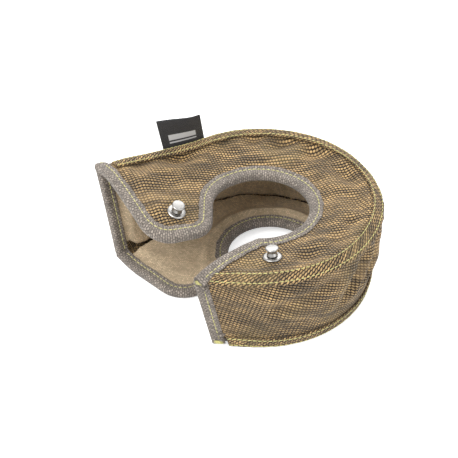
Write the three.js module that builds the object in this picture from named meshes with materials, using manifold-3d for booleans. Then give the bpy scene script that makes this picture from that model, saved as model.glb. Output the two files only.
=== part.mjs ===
// Turbo heat blanket: a C-shaped jacket of padded basalt cloth, open towards its middle.
// Millimetres, +Z up. It is laid out round the centre of its hole, then set on its rest face.
import * as THREE from 'three';
import { mergeVertices } from 'three/addons/utils/BufferGeometryUtils.js';
import Module from 'manifold-3d';

const wasm = await Module();
wasm.setup();

// Cut of the two C-shaped panels: angles in degrees round the middle of the ring
const upperCut = {
  ringRadius: 76,
  legAngle: 125.4, // where the straight leg leaves the ring
  legLength: 78,
  legWidth: 68,
  legCorner: 20, // radius of the leg's free corner
  innerCornerAngle: 217.5,
  innerCornerRadius: 41.5,
  innerCornerRound: 14,
  holeRadius: 33,
  holeX: 0,
  holeY: -1.5,
  holeEndAngle: -94,
  tipAngle: 254.5,
  tipRadius: 42,
  tipRound: 10.5, // radius of the front end's corner beside the hole
  frontAngle: -98, // where the front end leaves the ring
  frontRun: 31,
};
const lowerCut = {
  ...upperCut,
  ringRadius: 74.5,
  legAngle: 137.5,
  legLength: 63,
  legWidth: 58,
  innerCornerAngle: 218,
  innerCornerRadius: 38,
  innerCornerRound: 10.5,
  holeRadius: 31,
  holeX: 8,
  holeY: 4,
  tipAngle: 250,
  frontAngle: -94,
  frontRun: 26,
};
const gapAngle = 232; // middle of the wedge between the leg and the front end

// Standing shape
const ringHeight = 64;
const legRise = 15; // how much higher the leg's outer corner stands
const legDroop = 22; // how far its free corner hangs down
const frontDrop = 4;
const holeSag = 9;
const sagReach = 42;
const sagPower = 1.2;
const lowerLift = 7; // how far the lower panel curls up round its hole
const lowerFlat = 14; // from the outer edge in, the lower panel lies on the floor
const curlFrom = -45; // it lies flat in front of this, and curls fully behind the next
const curlTo = 10;
const backShoulder = 2; // how far the rounded outer rim drops, at the back and at the front
const frontShoulder = 4.5;
const shoulderWidth = 8.5;
const endShoulderWidth = 19;
const wallBulge = 2.5;
const bulgeReach = 50;

// Layers
const clothThick = 1;
const linerThick = 0.7;
const mattThick = 4.4;
const mattEdgeThick = 0.6; // pressed flat under the binding
const clearance = 0.5;
const pressedWidth = 9.5;
const puffWidth = 14.5;

// Binding and seam welts
const bindingThick = 0.8;
const bindingWidth = 7.4;
const bindingSlack = 0.8;
const innerSlack = 0.6; // more room on its inner side
const boundStrip = 10.5; // of each panel's end, kept pressed for its binding
const weltWidth = 8;
const weltThick = 1.8;
const weltLift = 0.55;
const weltMargin = 12; // from the ends of the seam
const weltBackInset = 4.5; // from the rim to the welt's outer edge
const weltFrontInset = -3.5;
const weltShiftStart = 0.4;
const weltShiftEnd = 0.64;
const lowerWeltLean = 70;

// Woven tag
const tagStart = 48.5; // from the leg's end
const tagLength = 34;
const tagHeight = 22.5;
const tagTwist = 3; // its top edge swings this far back at one end and forward at the other
const tagLean = 3.5; // its top edge is pulled this far towards the leg's end
const tagThick = 1.2;
const tagInset = 1.6;

// Lacing anchors
const anchorPlaces = { left: { radius: 56.8, angle: 196.4 }, front: { radius: 56.3, angle: 275.4 } };
const headRadius = 4.2;
const headThick = 1.1;
const neckRadius = 2.6;
const neckFlare = 3.5;
const neckHeight = 4.2;
const shankRadius = 1.8;
const clinchRadius = 3.1;
const clinchThick = 0.7;
const washerRadius = 6;
const washerThick = 1;
const backWasherRadius = 5.5;
const washerSeat = 0.6; // the cloth dips a little under the rims of the washers
const roundSides = 20;

// Mesh fineness
const legColumns = 12;
const ringColumns = 28;
const stripColumns = 3; // of these, in the strip that an end binding covers
const panelRows = 4;
const wallRows = 4;
const endBindingSteps = 6;
const tagColumns = 6;
const halvings = 12;
const boundSamples = 60; // points kept along each stretch of a bound edge

const columns = legColumns + ringColumns;
const edgeThick = clothThick + mattEdgeThick + linerThick + 2 * clearance;
const bindingReach = edgeThick + bindingSlack + innerSlack + bindingThick; // from the outside to the binding's far side

const toRadians = THREE.MathUtils.degToRad;
const mix = THREE.MathUtils.lerp;
const smoothstep = THREE.MathUtils.smoothstep;

function polar(radius, angle, x = 0, y = 0) {
  return new THREE.Vector2(x + radius * Math.cos(toRadians(angle)), y + radius * Math.sin(toRadians(angle)));
}

// A route of straight runs, with an arc of the given radius at each inner corner
function roundedRoute(corners, radii) {
  const path = new THREE.Path().moveTo(corners[0].x, corners[0].y);
  for (let i = 1; i < corners.length - 1; i++) {
    const back = corners[i - 1].clone().sub(corners[i]).normalize();
    const on = corners[i + 1].clone().sub(corners[i]).normalize();
    const half = Math.acos(back.dot(on)) / 2;
    const middle = back.clone().add(on).normalize();
    const centre = corners[i].clone().addScaledVector(middle, radii[i - 1] / Math.sin(half));
    const setback = radii[i - 1] / Math.tan(half);
    const from = corners[i].clone().addScaledVector(back, setback).sub(centre).angle();
    const to = corners[i].clone().addScaledVector(on, setback).sub(centre).angle();
    const clockwise = back.cross(on) > 0;
    path.absarc(centre.x, centre.y, radii[i - 1], from, to, clockwise);
  }
  const last = corners[corners.length - 1];
  return path.lineTo(last.x, last.y);
}

// The two long edges of a panel as four routes: outer and inner, on the leg and round the ring
function layOut(cut) {
  const tangent = polar(cut.ringRadius, cut.legAngle);
  const legRun = polar(1, cut.legAngle + 90);
  const legIn = polar(-1, cut.legAngle);
  const legEnd = tangent.clone().addScaledVector(legRun, cut.legLength);
  const freeCorner = legEnd.clone().addScaledVector(legIn, cut.legWidth);
  const innerCorner = polar(cut.innerCornerRadius, cut.innerCornerAngle, cut.holeX, cut.holeY);
  const holeLeft = polar(cut.holeRadius, 180, cut.holeX, cut.holeY);
  const leave = polar(cut.ringRadius, cut.frontAngle);
  const frontEnd = leave.clone().addScaledVector(polar(-1, cut.frontAngle + 90), cut.frontRun);
  const tip = polar(cut.tipRadius, cut.tipAngle, cut.holeX, cut.holeY);
  const holeEnd = polar(cut.holeRadius, cut.holeEndAngle, cut.holeX, cut.holeY);

  const toInner = innerCorner.clone().sub(freeCorner).normalize();
  const half = Math.acos(-legIn.dot(toInner)) / 2;
  const legStart = freeCorner.clone().addScaledVector(legIn, -cut.legCorner / Math.tan(half));
  const legInner = roundedRoute(
    [legStart, freeCorner, innerCorner, holeLeft],
    [cut.legCorner - 0.01, cut.innerCornerRound],
  );
  const legOuter = new THREE.Path().moveTo(legEnd.x, legEnd.y).lineTo(tangent.x, tangent.y);

  const endDirection = frontEnd.clone().sub(tip).normalize();
  const frontStart = tip.clone().addScaledVector(endDirection, cut.tipRound);
  const ringInner = new THREE.Path();
  ringInner.absarc(cut.holeX, cut.holeY, cut.holeRadius, Math.PI, toRadians(cut.holeEndAngle), true);
  const turn = roundedRoute([holeEnd, tip, frontStart], [cut.tipRound]);
  ringInner.curves.push(...turn.curves);
  const ringOuter = new THREE.Path();
  ringOuter.absarc(0, 0, cut.ringRadius, toRadians(cut.legAngle), toRadians(cut.frontAngle), true);
  ringOuter.lineTo(frontEnd.x, frontEnd.y);
  const startLine = new THREE.LineCurve(legEnd, legStart);
  const endLine = new THREE.LineCurve(frontStart, frontEnd);
  const bound = [startLine, legInner, ringInner, endLine].flatMap((route) => route.getSpacedPoints(boundSamples));
  return { cut, legInner, legOuter, ringInner, ringOuter, tangent, legRun, legIn, legEnd, leave, frontEnd, bound };
}

const upper = layOut(upperCut);
const lower = layOut(lowerCut);

// Share of a route at a count of columns from its end: the first few are crowded into a strip there
function shareAt(count, total, strip, route) {
  const pressed = strip / route.getLength();
  const beyond = (count - stripColumns) / (total - stripColumns);
  return count < stripColumns ? (pressed * count) / stripColumns : Math.min(mix(pressed, 1, beyond), 1);
}

// Count of columns at a distance from the end of a route, past the strip
function columnsAt(distance, total, length) {
  return mix(stripColumns, total, (distance - boundStrip) / (length - boundStrip));
}

// Points on the outer and inner edge of a panel at a column, which may be a fraction
function edgePoints(panel, column) {
  const onLeg = column <= legColumns;
  const [outer, inner] = onLeg ? [panel.legOuter, panel.legInner] : [panel.ringOuter, panel.ringInner];
  const corner = onLeg ? panel.cut.legCorner : panel.cut.tipRound;
  return [[outer, boundStrip], [inner, boundStrip + corner / 2]].map(([route, strip]) => {
    const onRing = 1 - shareAt(columns - column, ringColumns, strip, route);
    return route.getPointAt(onLeg ? shareAt(column, legColumns, strip, route) : Math.max(onRing, 0));
  });
}

// The same station as a frame: outer point, direction towards the hole, and width
function station(panel, column) {
  const [outer, inner] = edgePoints(panel, column);
  const across = inner.clone().sub(outer);
  const width = across.length();
  return { outer, inward: across.divideScalar(width), width };
}

function onLegSide(point) {
  return polar(1, gapAngle).cross(point) < 0;
}

// Distance of a plan point from the panel's outer edge
function depthOf(panel, point) {
  const onLeg = point.clone().sub(panel.tangent);
  if (onLegSide(point) && onLeg.dot(panel.legRun) > 0) {
    return onLeg.dot(panel.legIn);
  }
  const onFront = point.clone().sub(panel.leave);
  const run = panel.frontEnd.clone().sub(panel.leave).normalize();
  if (onFront.dot(run) > 0 && point.y < 0) {
    return -onFront.dot(polar(1, panel.cut.frontAngle));
  }
  return panel.cut.ringRadius - point.length();
}

// How far along the straight leg a plan point lies, from 0 on the ring to 1 at the leg's end
function legShare(panel, point) {
  const along = point.clone().sub(panel.tangent).dot(panel.legRun) / panel.cut.legLength;
  return onLegSide(point) ? Math.max(along, 0) : 0;
}

// Drop of the rounded outer rim, deeper towards the front and wider at the bound ends
function shoulder(panel, point) {
  const drop = mix(backShoulder, frontShoulder, smoothstep(-point.y, -upperCut.ringRadius, 0));
  const reach = mix(endShoulderWidth, shoulderWidth, smoothstep(boundDistance(panel, point), 0, 2 * pressedWidth));
  return drop * Math.max(1 - depthOf(panel, point) / reach, 0);
}

function beyondHole(panel, point) {
  return Math.max(Math.hypot(point.x - panel.cut.holeX, point.y - panel.cut.holeY) - panel.cut.holeRadius, 0);
}

// Height of the jacket's upper face over a plan point
function upperFace(point) {
  const share = legShare(upper, point);
  const rise = legRise * share ** 1.3;
  const droop = legDroop * share ** 2 * Math.max(depthOf(upper, point) / upperCut.legWidth, 0) ** 1.6;
  const front = frontDrop * smoothstep(-point.y, 20, upperCut.ringRadius) * smoothstep(-point.x, -30, 40);
  const sag = holeSag * Math.max(1 - beyondHole(upper, point) / sagReach, 0) ** sagPower;
  return ringHeight + rise - droop - front - sag - shoulder(upper, point);
}

// Height of its lower face, which clears the floor by the binding along the bound edges
function lowerFace(point) {
  const overFloor = bindingThick + bindingSlack + clearance;
  const edgeLift = overFloor * (1 - smoothstep(boundDistance(lower, point), pressedWidth, puffWidth));
  const flatFrom = lowerCut.ringRadius - lowerFlat - lowerCut.holeRadius - lowerCut.holeX;
  const back = smoothstep(point.y, curlFrom, curlTo);
  const curl = lowerLift * back * (1 - smoothstep(beyondHole(lower, point), pressedWidth, flatFrom));
  return Math.max(edgeLift, curl) + shoulder(lower, point);
}

// Distance of a plan point from the nearest bound edge
function boundDistance(panel, point) {
  return Math.min(...panel.bound.map((at) => at.distanceTo(point)));
}

// Thickness of the matt over a plan point
function mattAt(panel, point) {
  return mix(mattEdgeThick, mattThick, smoothstep(boundDistance(panel, point), pressedWidth, puffWidth));
}

// How deep each layer starts and ends below the outside, where the matt has the given thickness
const layers = {
  shell: () => [0, clothThick],
  batting: (matt) => [clothThick + clearance, clothThick + clearance + matt],
  liner: (matt) => [clothThick + 2 * clearance + matt, clothThick + 2 * clearance + matt + linerThick],
};

// A closed skin round a grid of points with an outer and an inner side
function slab(columnCount, rowCount, pointAt) {
  const vertices = [];
  const faces = [];
  const perSide = (columnCount + 1) * (rowCount + 1);
  for (const side of [0, 1]) {
    for (let i = 0; i <= columnCount; i++) {
      for (let j = 0; j <= rowCount; j++) {
        vertices.push(pointAt(i, j, side));
      }
    }
  }
  const at = (i, j, side) => side * perSide + i * (rowCount + 1) + j;
  const quad = (a, b, c, d) => faces.push(a, b, c, a, c, d);
  for (let i = 0; i < columnCount; i++) {
    for (let j = 0; j < rowCount; j++) {
      quad(at(i, j, 0), at(i + 1, j, 0), at(i + 1, j + 1, 0), at(i, j + 1, 0));
      quad(at(i, j, 1), at(i, j + 1, 1), at(i + 1, j + 1, 1), at(i + 1, j, 1));
    }
    quad(at(i + 1, 0, 0), at(i, 0, 0), at(i, 0, 1), at(i + 1, 0, 1));
    quad(at(i, rowCount, 0), at(i + 1, rowCount, 0), at(i + 1, rowCount, 1), at(i, rowCount, 1));
  }
  for (let j = 0; j < rowCount; j++) {
    quad(at(0, j, 0), at(0, j + 1, 0), at(0, j + 1, 1), at(0, j, 1));
    quad(at(columnCount, j + 1, 0), at(columnCount, j, 0), at(columnCount, j, 1), at(columnCount, j + 1, 1));
  }
  return closedGeometry(vertices, faces);
}

// A closed body lofted through equal sections, capped by the outline that one section has
function loft(sections, capOutline) {
  const count = capOutline.length;
  const vertices = sections.flat();
  const faces = [];
  for (let i = 0; i < sections.length - 1; i++) {
    for (let k = 0; k < count; k++) {
      const next = (k + 1) % count;
      const [a, b] = [i * count + k, i * count + next];
      faces.push(a, b, b + count, a, b + count, a + count);
    }
  }
  const last = (sections.length - 1) * count;
  const windsAs = (loop) => Math.sign(THREE.ShapeUtils.area(loop));
  for (const [a, b, c] of THREE.ShapeUtils.triangulateShape(capOutline, [])) {
    const sameWay = windsAs([a, b, c].map((k) => capOutline[k])) === windsAs(capOutline);
    const [p, q] = sameWay ? [b, c] : [c, b];
    faces.push(a, q, p, last + a, last + p, last + q);
  }
  return closedGeometry(vertices, faces);
}

// Indexed geometry whose faces all point out
function closedGeometry(vertices, faces) {
  const volume = new THREE.Vector3();
  let total = 0;
  for (let i = 0; i < faces.length; i += 3) {
    const [a, b, c] = [vertices[faces[i]], vertices[faces[i + 1]], vertices[faces[i + 2]]];
    total += volume.crossVectors(b, c).dot(a);
  }
  const turned = total < 0 ? faces.slice().reverse() : faces;
  const geometry = new THREE.BufferGeometry().setFromPoints(vertices);
  geometry.setIndex(turned);
  geometry.computeVertexNormals();
  return geometry;
}

// Depth at which a column comes clear of the bound edge by a distance, met by halving
function depthClear(panel, column, distance) {
  const { outer, inward, width } = station(panel, column);
  let [near, far] = [shoulderWidth, width];
  for (let step = 0; step < halvings; step++) {
    const middle = (near + far) / 2;
    const clear = boundDistance(panel, outer.clone().addScaledVector(inward, middle)) > distance;
    [near, far] = clear ? [middle, far] : [near, middle];
  }
  return near;
}

// Depths of a panel's rows from its outer edge: the rim, the shoulder, where the matt thins,
// where the binding starts, and the edge
function rowDepths(panel, column, rim) {
  const { width } = station(panel, column);
  const span = width - shoulderWidth;
  const thin = Math.max(depthClear(panel, column, pressedWidth), shoulderWidth + 0.6 * span);
  const full = Math.max(depthClear(panel, column, puffWidth), shoulderWidth + 0.3 * span);
  return [rim, shoulderWidth, full, thin, width];
}

// One layer of a C-shaped panel
function panelLayer(panel, layerName) {
  const isUpper = panel === upper;
  return slab(columns, panelRows, (i, j, side) => {
    const { outer, inward } = station(panel, i);
    const [rim] = layers[layerName](wallMatt(i));
    const depth = rowDepths(panel, i, rim)[j];
    let point = outer.clone().addScaledVector(inward, depth);
    const below = layers[layerName](mattAt(panel, point))[side];
    if (j === 0) {
      const share = below / bandHeight(i);
      point = bandPlan(i, isUpper ? 1 - share : share, depth);
    }
    const z = isUpper ? upperFace(point) - below : lowerFace(point) + below;
    return new THREE.Vector3(point.x, point.y, z);
  });
}

// Thickness of the side band's matt at a column
function wallMatt(column) {
  return Math.min(...[upper, lower].map((panel) => mattAt(panel, station(panel, column).outer)));
}

// Height of the side band at a column
function bandHeight(column) {
  return upperFace(station(upper, column).outer) - lowerFace(station(lower, column).outer);
}

// Plan of the side band at a column, a share of its height and a depth from its outside
function bandPlan(column, share, depth) {
  const [bottom, top] = [station(lower, column), station(upper, column)];
  const free = boundDistance(upper, top.outer);
  const bulge = wallBulge * smoothstep(free, pressedWidth, bulgeReach) * 4 * share * (1 - share);
  const inward = bottom.inward.clone().lerp(top.inward, share);
  return bottom.outer.clone().lerp(top.outer, share).addScaledVector(inward, depth - bulge);
}

// A share of the band's height, kept off both faces by a clearance
function heldShare(column, share, clearOf) {
  const clearBelow = clearOf(lower, station(lower, column).outer) / bandHeight(column);
  const clearAbove = clearOf(upper, station(upper, column).outer) / bandHeight(column);
  return THREE.MathUtils.clamp(share, clearBelow, 1 - clearAbove);
}

// One layer of the side band
function wallLayer(layerName) {
  const clearOf = (panel, plan) => {
    const ofBinding = bindingReach * (1 - smoothstep(boundDistance(panel, plan), pressedWidth, 2 * pressedWidth));
    return Math.max(ofBinding, layers[layerName](mattAt(panel, plan))[1]) + clearance;
  };
  return slab(columns, wallRows, (i, j, side) => {
    const held = heldShare(i, j / wallRows, clearOf);
    const plan = bandPlan(i, held, layers[layerName](wallMatt(i))[side]);
    return new THREE.Vector3(plan.x, plan.y, mix(lowerFace(plan), upperFace(plan), held));
  });
}

// The bound edge of a panel in plan: points with their direction into the cloth
function boundEdge(panel) {
  const alongEnd = (column) => {
    const { outer, inward } = station(panel, column);
    return rowDepths(panel, column, clearance).slice(0, -1).map((depth) => outer.clone().addScaledVector(inward, depth));
  };
  const inner = Array.from({ length: columns + 1 }, (_, i) => edgePoints(panel, i)[1]);
  const points = [...alongEnd(0), ...inner, ...alongEnd(columns).reverse()];
  return points.map((point, k) => {
    const before = points[Math.max(k - 1, 0)];
    const after = points[Math.min(k + 1, points.length - 1)];
    const run = after.clone().sub(before).normalize();
    return { point, into: new THREE.Vector2(-run.y, run.x) };
  });
}

// Channel section round a cloth edge: distance into the cloth, and depth below the outside
function channelSection() {
  const over = bindingSlack + bindingThick;
  const under = edgeThick + bindingSlack + innerSlack;
  const noseInset = edgeThick * 0.2;
  return [
    [bindingWidth, -over], [0, -over], [-over, noseInset], [-over, under - noseInset],
    [0, under + bindingThick], [bindingWidth, under + bindingThick], [bindingWidth, under],
    [-clearance, under], [-clearance, -bindingSlack], [bindingWidth, -bindingSlack],
  ];
}

function channelOutline() {
  return channelSection().map(([into, depth]) => new THREE.Vector2(into, -depth));
}

function panelBinding(panel) {
  const isUpper = panel === upper;
  const sections = boundEdge(panel).map(({ point, into }) =>
    channelSection().map(([distance, depth]) => {
      const at = point.clone().addScaledVector(into, distance);
      const held = point.clone().addScaledVector(into, Math.max(distance, 0));
      return new THREE.Vector3(at.x, at.y, isUpper ? upperFace(held) - depth : lowerFace(held) + depth);
    }),
  );
  return loft(sections, channelOutline());
}

// The upright binding on one end of the side band
function endBinding(isLeft) {
  const column = isLeft ? 0 : columns;
  const clearOf = () => bindingReach + 3 * clearance;
  const along = (panel) => (isLeft ? panel.legRun.clone().negate() : panel.leave.clone().sub(panel.frontEnd).normalize());
  const sections = [];
  for (let k = 0; k <= endBindingSteps; k++) {
    const share = k / endBindingSteps;
    const run = along(lower).lerp(along(upper), share);
    sections.push(
      channelSection().map(([distance, depth]) => {
        const held = heldShare(column, share, clearOf);
        const under = bandPlan(column, held, Math.max(depth, 0)).addScaledVector(run, Math.max(distance, 0));
        const at = bandPlan(column, held, depth).addScaledVector(run, distance);
        return new THREE.Vector3(at.x, at.y, mix(lowerFace(under), upperFace(under), held));
      }),
    );
  }
  return loft(sections, channelOutline());
}

// Runs a section along a seam, from beside one end binding to beside the other
function alongSeam(panel, sectionAt) {
  const first = columnsAt(weltMargin, legColumns, panel.legOuter.getLength());
  const last = columns - columnsAt(weltMargin, ringColumns, panel.ringOuter.getLength());
  const sections = [];
  for (let k = 0; k <= columns; k++) {
    const column = mix(first, last, k / columns);
    const { outer, inward } = station(panel, column);
    sections.push(sectionAt(column, (depth) => outer.clone().addScaledVector(inward, depth)));
  }
  return sections;
}

// The folded strip sewn flat on the upper seam: at the back it lies on the panel, in front on the rim
function upperWelt() {
  const sections = alongSeam(upper, (column, planAt) => {
    const shift = smoothstep(column / columns, weltShiftStart, weltShiftEnd);
    const rim = mix(weltBackInset, weltFrontInset, shift);
    const inner = rim + weltWidth;
    const middle = inner > shoulderWidth ? shoulderWidth : (rim + inner) / 2;
    const place = (depth, height) => {
      const plan = planAt(depth);
      return new THREE.Vector3(plan.x, plan.y, upperFace(plan) + weltLift + height);
    };
    return [
      place(inner, 0), place(middle, 0), place(rim, 0),
      place(rim, weltThick), place(middle, weltThick), place(inner, weltThick),
    ];
  });
  const half = weltWidth / 2;
  const outline = [[0, 0], [half, 0], [weltWidth, 0], [weltWidth, weltThick], [half, weltThick], [0, weltThick]];
  return loft(sections, outline.map(([x, y]) => new THREE.Vector2(x, y)));
}

// The same strip on the lower seam, where it leans against the wall from the floor up
function lowerWelt() {
  const half = weltThick / 2;
  const lean = toRadians(lowerWeltLean);
  const foot = { depth: -clearance - half / Math.sin(lean), z: half };
  const tip = { depth: foot.depth - weltWidth * Math.cos(lean), z: foot.z + weltWidth * Math.sin(lean) };
  const side = { depth: half * Math.sin(lean), z: half * Math.cos(lean) };
  const corners = [[foot, 1], [tip, 1], [tip, -1], [foot, -1]];
  const sections = alongSeam(lower, (column, planAt) =>
    corners.map(([from, sign]) => {
      const plan = planAt(from.depth + sign * side.depth);
      return new THREE.Vector3(plan.x, plan.y, from.z + sign * side.z);
    }),
  );
  const outline = [[0, weltThick], [weltWidth, weltThick], [weltWidth, 0], [0, 0]];
  return loft(sections, outline.map(([x, y]) => new THREE.Vector2(x, y)));
}

// The folded woven tag that stands in the seam
function tag() {
  const columnAt = (distance) => columnsAt(distance, legColumns, upperCut.legLength);
  return slab(tagColumns, 1, (i, j, side) => {
    const { outer, inward } = station(upper, columnAt(tagStart + (tagLength * i) / tagColumns));
    const plan = outer.clone().addScaledVector(inward, tagInset + side * tagThick);
    const foot = upperFace(outer.clone().addScaledVector(inward, tagInset + tagThick));
    const swing = j * tagTwist * (2 * (i / tagColumns) - 1);
    const at = plan.addScaledVector(upper.legRun, j * tagLean).addScaledVector(inward, swing);
    return new THREE.Vector3(at.x, at.y, foot + clearance + j * tagHeight);
  });
}

// Where an anchor stands: its foot on the upper face, its axis and the depth of cloth there
function anchorSeat({ radius, angle }) {
  const plan = polar(radius, angle);
  const slope = (step) => (upperFace(plan.clone().add(step)) - upperFace(plan.clone().sub(step))) / (2 * step.length());
  const step = washerRadius / 2;
  const axis = new THREE.Vector3(-slope(new THREE.Vector2(step, 0)), -slope(new THREE.Vector2(0, step)), 1);
  const foot = new THREE.Vector3(plan.x, plan.y, upperFace(plan));
  return { foot, axis: axis.normalize(), clothDepth: layers.liner(mattThick)[1] };
}

function setOnSeat(geometry, seat) {
  const turn = new THREE.Quaternion().setFromUnitVectors(new THREE.Vector3(0, 0, 1), seat.axis);
  return geometry.rotateX(Math.PI / 2).applyQuaternion(turn).translate(seat.foot.x, seat.foot.y, seat.foot.z);
}

function turned(profile) {
  return new THREE.LatheGeometry(profile.map(([r, z]) => new THREE.Vector2(r, z)), roundSides);
}

function washer(radius, bottom, seat) {
  const bore = shankRadius + clearance;
  const top = bottom + washerThick;
  const ring = turned([[bore, bottom], [radius, bottom], [radius, top], [bore, top], [bore, bottom]]);
  return setOnSeat(closedSolid(ring), seat);
}

// One turned piece: flat head, waisted neck, shank through the cloth, clinched end
function spool(seat) {
  const foot = washerSeat + washerThick + clearance;
  const top = foot + neckHeight + headThick;
  const back = -seat.clothDepth - washerSeat - washerThick - clearance;
  const profile = [
    [0, back - clinchThick], [clinchRadius, back - clinchThick], [clinchRadius, back],
    [shankRadius, back], [shankRadius, foot], [neckFlare, foot], [neckRadius, foot + 2],
    [neckRadius, top - headThick - 1], [headRadius, top - headThick], [headRadius, top - 0.3],
    [headRadius - 0.3, top], [0, top],
  ];
  return setOnSeat(closedSolid(turned(profile)), seat);
}

// A lathed geometry as one closed indexed body
function closedSolid(geometry) {
  geometry.deleteAttribute('normal');
  geometry.deleteAttribute('uv');
  const merged = mergeVertices(geometry, 1e-4);
  const vertices = [];
  const position = merged.getAttribute('position');
  for (let i = 0; i < position.count; i++) {
    vertices.push(new THREE.Vector3().fromBufferAttribute(position, i));
  }
  const index = merged.getIndex().array;
  const faces = [];
  for (let i = 0; i < index.length; i += 3) {
    const [a, b, c] = [index[i], index[i + 1], index[i + 2]];
    if (a !== b && b !== c && c !== a) {
      faces.push(a, b, c);
    }
  }
  return closedGeometry(vertices, faces);
}

function toManifold(geometry) {
  return new wasm.Manifold(
    new wasm.Mesh({
      numProp: 3,
      vertProperties: new Float32Array(geometry.getAttribute('position').array),
      triVerts: new Uint32Array(geometry.getIndex().array),
    }),
  );
}

function fromManifold(solid) {
  const { vertProperties, triVerts } = solid.getMesh();
  const geometry = new THREE.BufferGeometry();
  geometry.setAttribute('position', new THREE.BufferAttribute(vertProperties, 3));
  geometry.setIndex(new THREE.BufferAttribute(triVerts, 1));
  geometry.computeVertexNormals();
  return geometry;
}

// Punches the holes that the anchors' shanks pass through
function punched(geometry, seats) {
  let solid = toManifold(geometry);
  for (const seat of seats) {
    const reach = seat.clothDepth * 2;
    const punch = turned([[0, -reach], [shankRadius + clearance, -reach], [shankRadius + clearance, reach], [0, reach]]);
    solid = solid.subtract(toManifold(setOnSeat(closedSolid(punch), seat)));
  }
  return fromManifold(solid);
}

const twill = { color: 0x8a724f, roughness: 0.75, metalness: 0 };
const fleece = { color: 0xd8d2c4, roughness: 1, metalness: 0 };
const silica = { color: 0xa49175, roughness: 0.85, metalness: 0 };
const knit = { color: 0x998d83, roughness: 0.9, metalness: 0 };
const satin = { color: 0x2b2b2b, roughness: 0.45, metalness: 0 };
const steel = { color: 0xcdcac6, roughness: 0.28, metalness: 1 };

const blanket = new THREE.Group();

function add(name, geometry, finish) {
  const mesh = new THREE.Mesh(geometry, new THREE.MeshStandardMaterial(finish));
  mesh.name = name;
  blanket.add(mesh);
}

const seats = Object.fromEntries(Object.entries(anchorPlaces).map(([side, place]) => [side, anchorSeat(place)]));
const allSeats = Object.values(seats);

add('upper_shell', punched(panelLayer(upper, 'shell'), allSeats), twill);
add('upper_batting', punched(panelLayer(upper, 'batting'), allSeats), fleece);
add('upper_liner', punched(panelLayer(upper, 'liner'), allSeats), silica);
add('lower_shell', panelLayer(lower, 'shell'), twill);
add('lower_batting', panelLayer(lower, 'batting'), fleece);
add('lower_liner', panelLayer(lower, 'liner'), silica);
add('side_shell', wallLayer('shell'), twill);
add('side_batting', wallLayer('batting'), fleece);
add('side_liner', wallLayer('liner'), silica);
add('upper_seam_welt', upperWelt(), twill);
add('lower_seam_welt', lowerWelt(), twill);
add('upper_binding', panelBinding(upper), knit);
add('lower_binding', panelBinding(lower), knit);
add('left_end_binding', endBinding(true), knit);
add('front_end_binding', endBinding(false), knit);
add('label', tag(), satin);
for (const [side, seat] of Object.entries(seats)) {
  add(`${side}_anchor_spool`, spool(seat), steel);
  add(`${side}_anchor_washer`, washer(washerRadius, washerSeat, seat), steel);
  const backTop = -seat.clothDepth - washerSeat - washerThick;
  add(`${side}_anchor_back_washer`, washer(backWasherRadius, backTop, seat), steel);
}

// Origin at the middle of the rest face
const extent = new THREE.Box3().setFromObject(blanket);
const middle = extent.getCenter(new THREE.Vector3());
blanket.position.set(-middle.x, -middle.y, -extent.min.z);

export default blanket;
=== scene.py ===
"""A C-shaped heat blanket in basalt twill, with knitted binding, stitched seams and steel anchors.

Shapes are worked out in millimetres round the middle of the ring, then moved into the frame in metres.
"""

import math

import bpy
import numpy as np
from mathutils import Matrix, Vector


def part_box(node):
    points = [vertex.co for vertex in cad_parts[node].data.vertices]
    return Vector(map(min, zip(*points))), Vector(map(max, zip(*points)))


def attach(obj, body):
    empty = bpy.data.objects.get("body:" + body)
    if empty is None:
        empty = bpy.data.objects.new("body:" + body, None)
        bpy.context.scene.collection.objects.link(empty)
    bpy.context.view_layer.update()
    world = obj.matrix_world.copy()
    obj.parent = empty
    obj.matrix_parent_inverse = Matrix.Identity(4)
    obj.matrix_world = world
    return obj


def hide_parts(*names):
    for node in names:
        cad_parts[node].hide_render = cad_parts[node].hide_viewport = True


bl_info = {
    "name": "Heat Blanket",
    "version": (1, 0, 0),
    "blender": (4, 5, 0),
    "location": "View3D > Sidebar > Blanket",
    "description": "Dresses a C-shaped heat blanket in twill, knitted binding, stitching and steel",
    "category": "Object",
}

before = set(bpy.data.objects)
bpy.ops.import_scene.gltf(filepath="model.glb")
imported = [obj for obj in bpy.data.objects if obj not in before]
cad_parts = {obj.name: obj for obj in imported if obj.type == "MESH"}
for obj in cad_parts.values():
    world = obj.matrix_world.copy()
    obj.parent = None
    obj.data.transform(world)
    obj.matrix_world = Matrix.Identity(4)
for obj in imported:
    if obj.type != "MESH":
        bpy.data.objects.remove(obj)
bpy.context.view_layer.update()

MM = 0.001
RING_MIDDLE = (14.673, 0.013)  # the middle of the ring in the frame, in millimetres
SEED = 7

# Cut of the two panels, as in the solids: angles in degrees, lengths in millimetres
UPPER_CUT = dict(
    ring_radius=76.0, leg_angle=125.4, leg_length=78.0, leg_width=68.0, leg_corner=20.0,
    inner_corner_angle=217.5, inner_corner_radius=41.5, inner_corner_round=14.0,
    hole_radius=33.0, hole_x=0.0, hole_y=-1.5, hole_end_angle=-94.0,
    tip_angle=254.5, tip_radius=42.0, tip_round=10.5, front_angle=-98.0, front_run=31.0,
)
LOWER_CUT = dict(
    UPPER_CUT, ring_radius=74.5, leg_angle=137.5, leg_length=63.0, leg_width=58.0,
    inner_corner_angle=218.0, inner_corner_radius=38.0, inner_corner_round=10.5,
    hole_radius=31.0, hole_x=8.0, hole_y=4.0, tip_angle=250.0, front_angle=-94.0, front_run=26.0,
)
GAP_ANGLE = 232.0

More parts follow.
